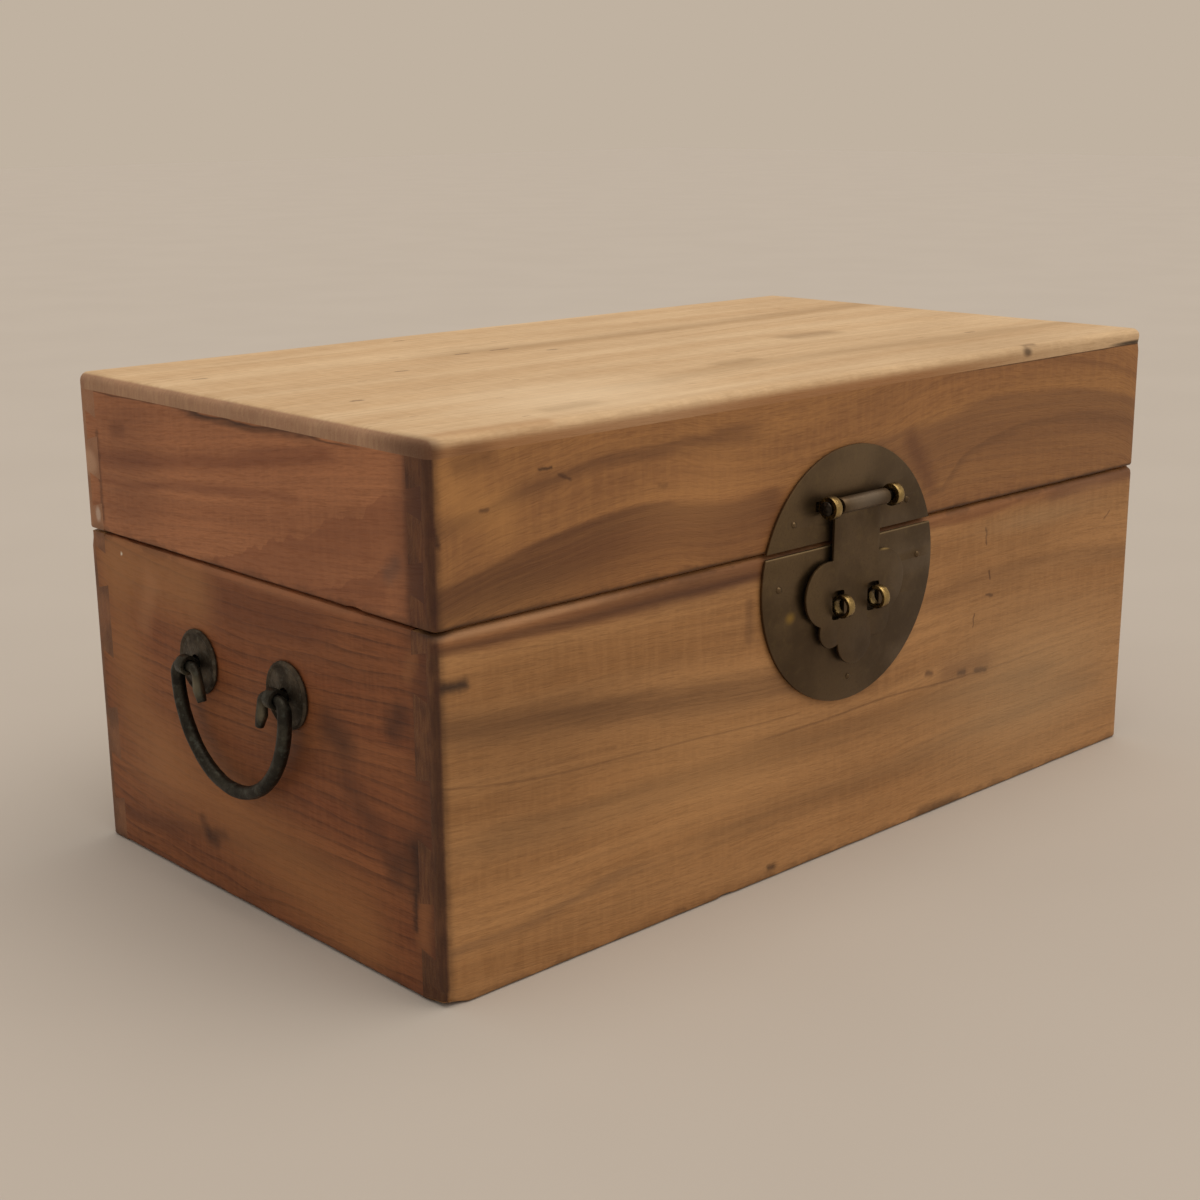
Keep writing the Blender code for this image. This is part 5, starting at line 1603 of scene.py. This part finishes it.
@dataclass
class Hinges:
    """The two surface hinges on the back."""

    leaf_ease: float = 0.25 * MM
    knuckle_reach: float = 3.6 * MM

    def build(self, trunk: PackedTrunk, plate: bpy.types.Material, ring: bpy.types.Material) -> None:
        """Dress the hinges.

        Args:
            trunk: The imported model.
            plate: The sheet brass of the leaves.
            ring: The brass of the pins.
        """
        axis = trunk.joint_point["lid_hinge"].z
        knuckles = (axis - self.knuckle_reach, axis + self.knuckle_reach)
        for side in ("left", "right"):
            trunk.keep(f"hinge_pin_{side}", ring)
            for part in ("base", "lid"):
                holes = trunk.middles(f"hinge_nail_{part}_{side}")
                leaf = f"hinge_leaf_{part}_{side}"
                ease_metal(trunk, leaf, plate, self.leaf_ease, "brass", cuts=holes, crisp=knuckles)


# Edges around nail holes are shorter than this; heads cover them
NAIL_HOLE_EDGE = 0.8 * MM
# Edges of metal that turn by more than this angle in degrees are filed
METAL_SHARP = 40.0


def ease_metal(
    trunk: PackedTrunk,
    node: str,
    finish: bpy.types.Material,
    ease: float,
    word: str,
    narrowed: float = 1.0,
    cuts: tuple[float, ...] = (),
    crisp: tuple[float, float] = (0.0, 0.0),
) -> bpy.types.Object:
    """Make the piece that stands for a metal node, with filed edges.

    Args:
        trunk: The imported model.
        node: Name of the CAD node.
        finish: Its material.
        ease: How far its edges are rounded.
        word: The word for its material in the piece's name.
        narrowed: Share of its width along X that filing left.
        cuts: Places along X where its faces are parted through holes.
        crisp: Heights between which edges stay as they are.

    Returns:
        The piece.
    """
    shape = trunk.merged_copy(node, cuts)
    if narrowed < 1.0:
        middle = sum(vert.co.x for vert in shape.verts) / len(shape.verts)
        for vert in shape.verts:
            vert.co.x = middle + (vert.co.x - middle) * narrowed
    long_enough = [e for e in shape.edges if len(e.link_faces) == 2 and e.calc_length() > NAIL_HOLE_EDGE]
    low, high = crisp
    filed = [e for e in long_enough if not all(low < vert.co.z < high for vert in e.verts)]
    sharp = [e for e in filed if e.calc_face_angle() > math.radians(METAL_SHARP)]
    bmesh.ops.bevel(
        shape, geom=sharp, offset=ease, offset_type="OFFSET", segments=2, profile=0.5, affect="EDGES"
    )
    return trunk.stand_for(node, shape, finish, word, METAL_CREASE)


@dataclass
class Handle:
    """One end's bail of forged wire, with its eyes and rosettes."""

    word: str
    eye_spacing: float = 57.6 * MM
    wire: float = 2.75 * MM
    hook_wire: float = 2.0 * MM
    swell_wire: float = 2.4 * MM
    tip_wire: float = 1.8 * MM
    tip_lean: float = 2.4 * MM
    spread: float = 6.25 * MM
    drop: float = 41.3 * MM
    shoulder: float = 4.0 * MM
    hook_inset: float = 7.5 * MM
    hook_bend: float = 3.5 * MM
    tip_drop: float = 12.2 * MM
    unevenness: float = 0.12
    rosette_ease: float = 0.25 * MM
    eye_ease: float = 0.3 * MM
    grip_steps: int = 12
    bend_steps: int = 5
    sides: int = 20
    samples: int = 180
    seed: int = 7

    def build(
        self,
        trunk: PackedTrunk,
        bronze: bpy.types.Material,
        rosette: bpy.types.Material,
        tree: Tree,
    ) -> None:
        """Make the bail and dress the eyes and rosettes.

        Args:
            trunk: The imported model.
            bronze: The dark bronze of the wire.
            rosette: The duller bronze of the rosettes.
            tree: The geometry node tree that forges the wire.
        """
        for where in ("front", "back"):
            ease_metal(trunk, f"{self.word}_rosette_{where}", rosette, self.rosette_ease, "bronze")
            ease_metal(trunk, f"{self.word}_eye_{where}", bronze, self.eye_ease, "bronze")
        node = f"{self.word}_bail"
        axis = trunk.joint_point[f"{self.word}_bail_swing"]
        mesh = self._forged_mesh(tree, bronze, axis)
        mesh.name = f"{node}_bronze"
        piece = new_object(mesh.name, mesh)
        trunk.place(piece, trunk.body_of[node], trunk.slot_of[node], node)

    def _route(self) -> list[Triple]:
        """Follow the wire from the middle of the grip to a hooked tip.

        Returns:
            Sideways place, height and wire radius of each point, about the eyes' axis.
        """
        eye = self.eye_spacing / 2
        half_width = eye + self.spread
        fall = self.drop - self.shoulder
        route = []
        for step in range(self.grip_steps + 1):
            turn = math.pi / 2 * (1.0 - step / self.grip_steps)
            route.append((half_width * math.cos(turn), -self.shoulder - fall * math.sin(turn), self.wire))
        for step in range(1, self.bend_steps + 1):
            turn = math.pi / 2 * step / self.bend_steps
            side = half_width - self.shoulder * (1.0 - math.cos(turn))
            thin = self.wire + (self.hook_wire - self.wire) * step / self.bend_steps
            route.append((side, -self.shoulder * (1.0 - math.sin(turn)), thin))
        tip = eye - self.hook_inset
        for step in range(self.bend_steps + 1):
            turn = math.pi / 2 * (1.0 + step / self.bend_steps)
            side = tip + self.hook_bend * (1.0 + math.cos(turn))
            route.append((side, -self.hook_bend * (1.0 - math.sin(turn)), self.hook_wire))
        middle = (self.tip_drop + self.hook_bend) / 2
        route.append((tip - self.tip_lean / 4, -middle, self.swell_wire))
        route.append((tip - self.tip_lean, -self.tip_drop, self.tip_wire))
        return route

    def _forged_mesh(
        self, tree: Tree, bronze: bpy.types.Material, axis: Vector
    ) -> bpy.types.Mesh:
        """Run the wire through the geometry nodes.

        Args:
            tree: The geometry node tree.
            bronze: The dark bronze.
            axis: A point on the axis that the bail swings on.

        Returns:
            The bail's mesh, in place.
        """
        half = self._route()
        whole = [(-side, height, wire) for side, height, wire in reversed(half[1:])] + half
        path = bpy.data.meshes.new("wire_path")
        spots = [axis + Vector((0.0, side, height)) for side, height, _ in whole]
        path.from_pydata(spots, [(i, i + 1) for i in range(len(spots) - 1)], [])
        radii = path.attributes.new("wire_radius", "FLOAT", "POINT")
        radii.data.foreach_set("value", [wire for _, _, wire in whole])
        carrier = new_object("wire_path", path)
        values = {
            "Samples": self.samples,
            "Sides": self.sides,
            "Unevenness": self.unevenness,
            "Seed": float(self.seed),
            "Finish": bronze,
        }
        return run_nodes(carrier, tree, values)


def run_nodes(
    carrier: bpy.types.Object, tree: Tree, values: dict[str, object]
) -> bpy.types.Mesh:
    """Run a carrier's points through geometry nodes and keep the plain mesh.

    Args:
        carrier: The object that holds the points or the path, removed here.
        tree: The geometry node tree.
        values: The value of each named input.

    Returns:
        The mesh that the nodes make.
    """
    run = carrier.modifiers.new(tree.name, "NODES")
    run.node_group = tree
    for item in tree.interface.items_tree:
        if item.name in values and item.in_out == "INPUT":
            run[item.identifier] = values[item.name]
    mesh = finished_mesh(carrier)
    bpy.data.objects.remove(carrier)
    return mesh


# Length of a hammer mark on the wire and on a nail's head
WIRE_DENT = 9.0 * MM
HEAD_DENT = 1.0 * MM


def forged_wire() -> Tree:
    """Make the geometry nodes that forge a wire along a path with a wire_radius on its points.

    Returns:
        The tree, with inputs Path, Samples, Sides, Unevenness, Seed and Finish.
    """
    inputs = {
        "Path": "Geometry",
        "Samples": "Int",
        "Sides": "Int",
        "Unevenness": "Float",
        "Seed": "Float",
        "Finish": "Material",
    }
    tree = new_group("forged_wire", "GeometryNodeTree", inputs, "Geometry", "Geometry")
    given = add_node(tree, "NodeGroupInput").node.outputs
    wire = add_node(tree, "GeometryNodeMeshToCurve", {"Mesh": given["Path"]})
    wire = add_node(tree, "GeometryNodeResampleCurve", {"Curve": wire, "Count": given["Samples"]})
    name = {"Name": "wire_radius"}
    drawn = add_node(tree, "GeometryNodeInputNamedAttribute", name, "Attribute", data_type="FLOAT")
    place = add_node(tree, "GeometryNodeInputPosition")
    beaten = {"Vector": place, "W": given["Seed"], "Scale": 1.0 / WIRE_DENT, "Detail": 1.0}
    dents = add_node(tree, "ShaderNodeTexNoise", beaten, noise_dimensions="4D")
    level = add_node(tree, "ShaderNodeMath", {0: dents, 1: 1.0}, operation="SUBTRACT")
    dent = {0: level, 1: given["Unevenness"], 2: 1.0}
    dent = add_node(tree, "ShaderNodeMath", dent, operation="MULTIPLY_ADD")
    radius = add_node(tree, "ShaderNodeMath", {0: drawn, 1: dent}, operation="MULTIPLY")
    ring = add_node(tree, "GeometryNodeCurvePrimitiveCircle", {"Resolution": given["Sides"], "Radius": 1.0})
    swept = {"Curve": wire, "Profile Curve": ring, "Scale": radius, "Fill Caps": True}
    tube = add_node(tree, "GeometryNodeCurveToMesh", swept)
    smooth = add_node(tree, "GeometryNodeSetShadeSmooth", {"Geometry": tube})
    real = add_node(tree, "GeometryNodeRealizeInstances", {"Geometry": smooth})
    dressed = add_node(tree, "GeometryNodeSetMaterial", {"Geometry": real, "Material": given["Finish"]})
    add_node(tree, "NodeGroupOutput", {0: dressed})
    return tree


@dataclass
class NailHeads:
    """The domed, hammered heads of the nails in the lock plate and the hinge leaves."""

    radius: float = 1.4 * MM
    proud: float = 0.6 * MM
    head: float = 0.9 * MM
    hammered: float = 0.14 * MM
    smallest: float = 0.92
    largest: float = 1.06
    seed: int = 3

    def tree(self) -> Tree:
        """Make the geometry nodes that set a hammered head on each point.

        Returns:
            The tree, with inputs Points, Radius, Hammered, Seed and Finish.
        """
        inputs = {
            "Points": "Geometry",
            "Radius": "Float",
            "Hammered": "Float",
            "Seed": "Int",
            "Finish": "Material",
        }
        tree = new_group("nail_heads", "GeometryNodeTree", inputs, "Geometry", "Geometry")
        given = add_node(tree, "NodeGroupInput").node.outputs
        ball = add_node(tree, "GeometryNodeMeshIcoSphere", {"Radius": given["Radius"], "Subdivisions": 4})
        points = add_node(tree, "GeometryNodeMeshToPoints", {"Mesh": given["Points"]})
        sizes = {"Min_001": self.smallest, "Max_001": self.largest, "Seed": given["Seed"]}
        size = add_node(tree, "FunctionNodeRandomValue", sizes, "Value_001", data_type="FLOAT")
        placed = {"Points": points, "Instance": ball, "Scale": size}
        driven = add_node(tree, "GeometryNodeInstanceOnPoints", placed)
        real = add_node(tree, "GeometryNodeRealizeInstances", {"Geometry": driven})
        dents = add_node(tree, "ShaderNodeTexNoise", {"Scale": 1.0 / HEAD_DENT, "Detail": 0.0}, "Color")
        level = add_node(tree, "ShaderNodeVectorMath", {0: dents, 1: (0.5, 0.5, 0.5)}, operation="SUBTRACT")
        shift = {0: level, "Scale": given["Hammered"]}
        shift = add_node(tree, "ShaderNodeVectorMath", shift, operation="SCALE")
        beaten = add_node(tree, "GeometryNodeSetPosition", {"Geometry": real, "Offset": shift})
        smooth = add_node(tree, "GeometryNodeSetShadeSmooth", {"Geometry": beaten})
        dressed = {"Geometry": smooth, "Material": given["Finish"]}
        dressed = add_node(tree, "GeometryNodeSetMaterial", dressed)
        add_node(tree, "NodeGroupOutput", {0: dressed})
        return tree

    def build(self, trunk: PackedTrunk, brass: bpy.types.Material) -> None:
        """Drive the nails of the box and of the lid.

        Args:
            trunk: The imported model.
            brass: The heads' metal.
        """
        tree = self.tree()
        for body in ("base", "lid"):
            nails = [node for node in trunk.nodes if "_nail_" in node and trunk.body_of[node] == body]
            path = bpy.data.meshes.new("nail_points")
            path.from_pydata([self._centre(node) for node in nails], [], [])
            carrier = new_object("nail_points", path)
            values = {"Radius": self.radius, "Hammered": self.hammered, "Seed": self.seed, "Finish": brass}
            mesh = run_nodes(carrier, tree, values)
            mesh.name = f"{body}_nail_heads"
            piece = new_object(mesh.name, mesh)
            trunk.place(piece, body, trunk.slot_of[nails[0]], *nails)

    def _centre(self, node: str) -> Vector:
        """Give the middle of the ball whose cap is a nail's head, sunk into the plate under it."""
        low, high = (Vector(corner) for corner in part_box(node))
        middle = (low + high) / 2
        out = -1.0 if middle.y < 0 else 1.0
        top = low.y if out < 0 else high.y
        return Vector((middle.x, top - out * (self.radius + self.head - self.proud), middle.z))


FLOOR_CLOUD = Figure((160.0, 160.0, 160.0), 0.3, 0.7)


@dataclass(frozen=True)
class Lamp:
    """A soft lamp: where it shines from, its width as an angle in degrees and its strength."""

    name: str
    place: Triple
    spread: float
    strength: float


OVERHEAD = Lamp("overhead", place=(0.25, -0.35, 1.5), spread=60.0, strength=1.5)
FRONT_RIGHT = Lamp("front_right", place=(0.9, -1.5, 0.9), spread=40.0, strength=0.16)


@dataclass
class Studio:
    """A pale floor, soft light from above and in front, and the camera at the photograph's angle."""

    floor_half: float = 8.0
    floor_drop: float = 0.2 * MM
    floor_roughness: float = 0.9
    floor_tone: str = "#BFB6AC"
    floor_cloud_tone: str = "#BDB4AA"
    lamp_tone: str = "#FFF4E6"
    far_tone: str = "#C0B2A1"
    sky_tone: str = "#FFFBF5"
    sky_strength: float = 0.52
    lens: float = 56.79
    sensor: float = 36.0
    camera_point: Triple = (-0.548658, -0.560821, 0.289457)
    camera_right: Triple = (0.730910, -0.682426, -0.008050)
    camera_up: Triple = (0.180031, 0.181417, 0.966787)
    camera_back: Triple = (-0.658300, -0.708084, 0.255458)

    def build(self) -> None:
        """Set the whole studio up."""
        self._camera()
        self._floor()
        self._world()
        for lamp in (OVERHEAD, FRONT_RIGHT):
            self._hang(lamp)
        bpy.context.scene.view_settings.view_transform = "Standard"

    def _camera(self) -> None:
        """Place the camera as the fit to the photograph gives it."""
        data = bpy.data.cameras.new("camera")
        data.lens = self.lens
        data.sensor_width = self.sensor
        data.clip_start = 10.0 * MM
        camera = new_object("camera", data)
        turn = Matrix((self.camera_right, self.camera_up, self.camera_back)).transposed()
        camera.matrix_world = Matrix.Translation(self.camera_point) @ turn.to_4x4()
        bpy.context.scene.camera = camera

    def _floor(self) -> None:
        """Lay the floor."""
        shape = bmesh.new()
        bmesh.ops.create_grid(shape, x_segments=8, y_segments=8, size=self.floor_half)
        mesh = bpy.data.meshes.new("floor")
        shape.to_mesh(mesh)
        shape.free()
        material = new_material("matt_floor")
        tree = material.node_tree
        point, _ = shaded_point(tree)
        cloud = FLOOR_CLOUD.mask(tree, point)
        plain, clouded = linear(self.floor_tone), linear(self.floor_cloud_tone)
        tones = {"Factor_Float": cloud, "A_Color": plain, "B_Color": clouded}
        colour = add_node(tree, "ShaderNodeMix", tones, "Result_Color", data_type="RGBA")
        shader = tree.nodes["Principled BSDF"]
        tree.links.new(colour, shader.inputs["Base Color"])
        shader.inputs["Roughness"].default_value = self.floor_roughness
        mesh.materials.append(material)
        floor = new_object("floor", mesh)
        floor.location.z = -self.floor_drop
        floor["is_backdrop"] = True

    def _world(self) -> None:
        """Fill the room with soft light."""
        world = bpy.data.worlds.new("room")
        world.use_nodes = True
        tree = world.node_tree
        sky = tree.nodes["Background"]
        sky.inputs["Color"].default_value = linear(self.sky_tone)
        sky.inputs["Strength"].default_value = self.sky_strength
        seen = add_node(tree, "ShaderNodeBackground", {"Color": linear(self.far_tone), "Strength": 1.0})
        rays = add_node(tree, "ShaderNodeLightPath").node.outputs
        shown = {0: rays["Is Camera Ray"], 1: rays["Is Glossy Ray"]}
        shown = add_node(tree, "ShaderNodeMath", shown, operation="MAXIMUM")
        shown = {0: shown, 1: rays["Is Transmission Ray"]}
        shown = add_node(tree, "ShaderNodeMath", shown, operation="MAXIMUM")
        both = add_node(tree, "ShaderNodeMixShader", {0: shown, 1: sky.outputs[0], 2: seen})
        tree.links.new(both, tree.nodes["World Output"].inputs["Surface"])
        bpy.context.scene.world = world

    def _hang(self, lamp: Lamp) -> None:
        """Hang a lamp so that it faces the trunk.

        Args:
            lamp: The lamp.
        """
        data = bpy.data.lights.new(lamp.name, "SUN")
        data.angle = math.radians(lamp.spread)
        data.energy = lamp.strength
        data.color = linear(self.lamp_tone)[:3]
        turn = (-Vector(lamp.place)).to_track_quat("-Z", "Y").to_matrix().to_4x4()
        new_object(lamp.name, data).matrix_world = Matrix.Translation(lamp.place) @ turn


# Places on the metal, and its finishes
BARREL_GREY = Zone(centre=(0.0, -117.5, 143.5), reach=(16.0, 4.5, 4.5), tone="#7E7468", strength=0.6)
PLATE_RUB = Zone(centre=(-34.4, -111, 102.2), reach=(4, 4, 3.4), tone="#A8873F", strength=0.6, core=0.0)
# Painted reflection of the sky: the upper plate lighter towards the top
PLATE_SKY_REFLECTION = Zone(centre=(4, -111, 160), reach=(62, 12, 30), tone="#8A7862", strength=0.2, core=0.0)
PLATE_LOW = Zone(centre=(-6, -111, 84), reach=(62, 12, 28), tone="#46382A", strength=0.5, core=0.0)
# Painted highlight: the bright line along the lower plate's top edge, where it catches the light
PLATE_EDGE_HIGHLIGHT = Zone(
    centre=(0, -111.3, 126.6), reach=(110, 1.9, 0.8), tone="#AC9874", strength=0.55, core=0.35
)
# Painted glint on the hasp's right shoulder, where its edge catches the light
HASP_SHOULDER_GLINT = Zone(
    centre=(17.5, -114.3, 121.3), reach=(5, 2.5, 1.2), tone="#C0A56A", strength=0.55, core=0.2
)
PLATE_BRASS = AgedMetal(
    "sheet_brass",
    "#65543E",
    "#534432",
    "#7A6843",
    roughness=0.42,
    patch_mm=24.0,
    rubbed_share=0.15,
    bump=0.03,
    zones=(PLATE_SKY_REFLECTION, PLATE_LOW, BARREL_GREY, PLATE_RUB, PLATE_EDGE_HIGHLIGHT, HASP_SHOULDER_GLINT),
)
# Painted shade inside the holes of the staples' rings
RING_HOLE_SHADE = tuple(
    Zone(centre=(side * 10.4, -117, 103.5), reach=(14, 3.8, 3.8), tone="#211A12", strength=0.6, core=0.85)
    for side in (-1, 1)
)
RING_BRASS = AgedMetal(
    "handled_brass",
    "#65532F",
    "#2C2216",
    "#C8AC70",
    roughness=0.26,
    patch_mm=2.2,
    rubbed_share=0.4,
    # The front and upper side is brightened: rubbed metal, partly a painted highlight
    rubbed_and_lit_side=(0.0, -0.94, 0.34),
    zones=RING_HOLE_SHADE,
)
PIN_IRON = AgedMetal(
    "pin_iron",
    "#2E2822",
    "#1B1713",
    "#6E655A",
    roughness=0.34,
    patch_mm=3.0,
    rubbed_share=0.3,
)
HOOK_WEAR = tuple(
    Zone(centre=(side * 207.0, eye, 83.0), reach=(9.0, 8.0, 8.0), tone="#8C8672", strength=0.6)
    for side in (-1, 1)
    for eye in (-24.0, 27.0)
)
HANDLE_BRONZE = AgedMetal(
    "dark_bronze",
    "#3B3A34",
    "#2A2825",
    "#68665A",
    roughness=0.46,
    patch_mm=9.0,
    rubbed_share=0.18,
    verdigris="#66706A",
    verdigris_share=0.16,
    zones=HOOK_WEAR,
)
ROSETTE_BRONZE = AgedMetal(
    "rosette_bronze",
    "#544C42",
    "#3B352E",
    "#756A58",
    roughness=0.5,
    patch_mm=7.0,
    rubbed_share=0.25,
    verdigris="#6C7068",
    verdigris_share=0.2,
)


def main() -> None:
    """Build the trunk's pieces in order, then the studio."""
    logging.basicConfig(level=logging.INFO, format="%(name)s: %(message)s")
    trunk = PackedTrunk()
    Studio().build()
    stroke = soft_stroke()
    for part in (Box(), Lid()):
        for board in part.boards():
            board.build(trunk, stroke)
    plate = PLATE_BRASS.build()
    ring = RING_BRASS.build()
    bronze = HANDLE_BRONZE.build()
    rosette = ROSETTE_BRONZE.build()
    Lock().build(trunk, plate, ring, PIN_IRON.build())
    Hinges().build(trunk, plate, ring)
    wire = forged_wire()
    for word in ("left", "right"):
        Handle(word).build(trunk, bronze, rosette, wire)
    NailHeads().build(trunk, plate)


if __name__ == "__main__":
    main()
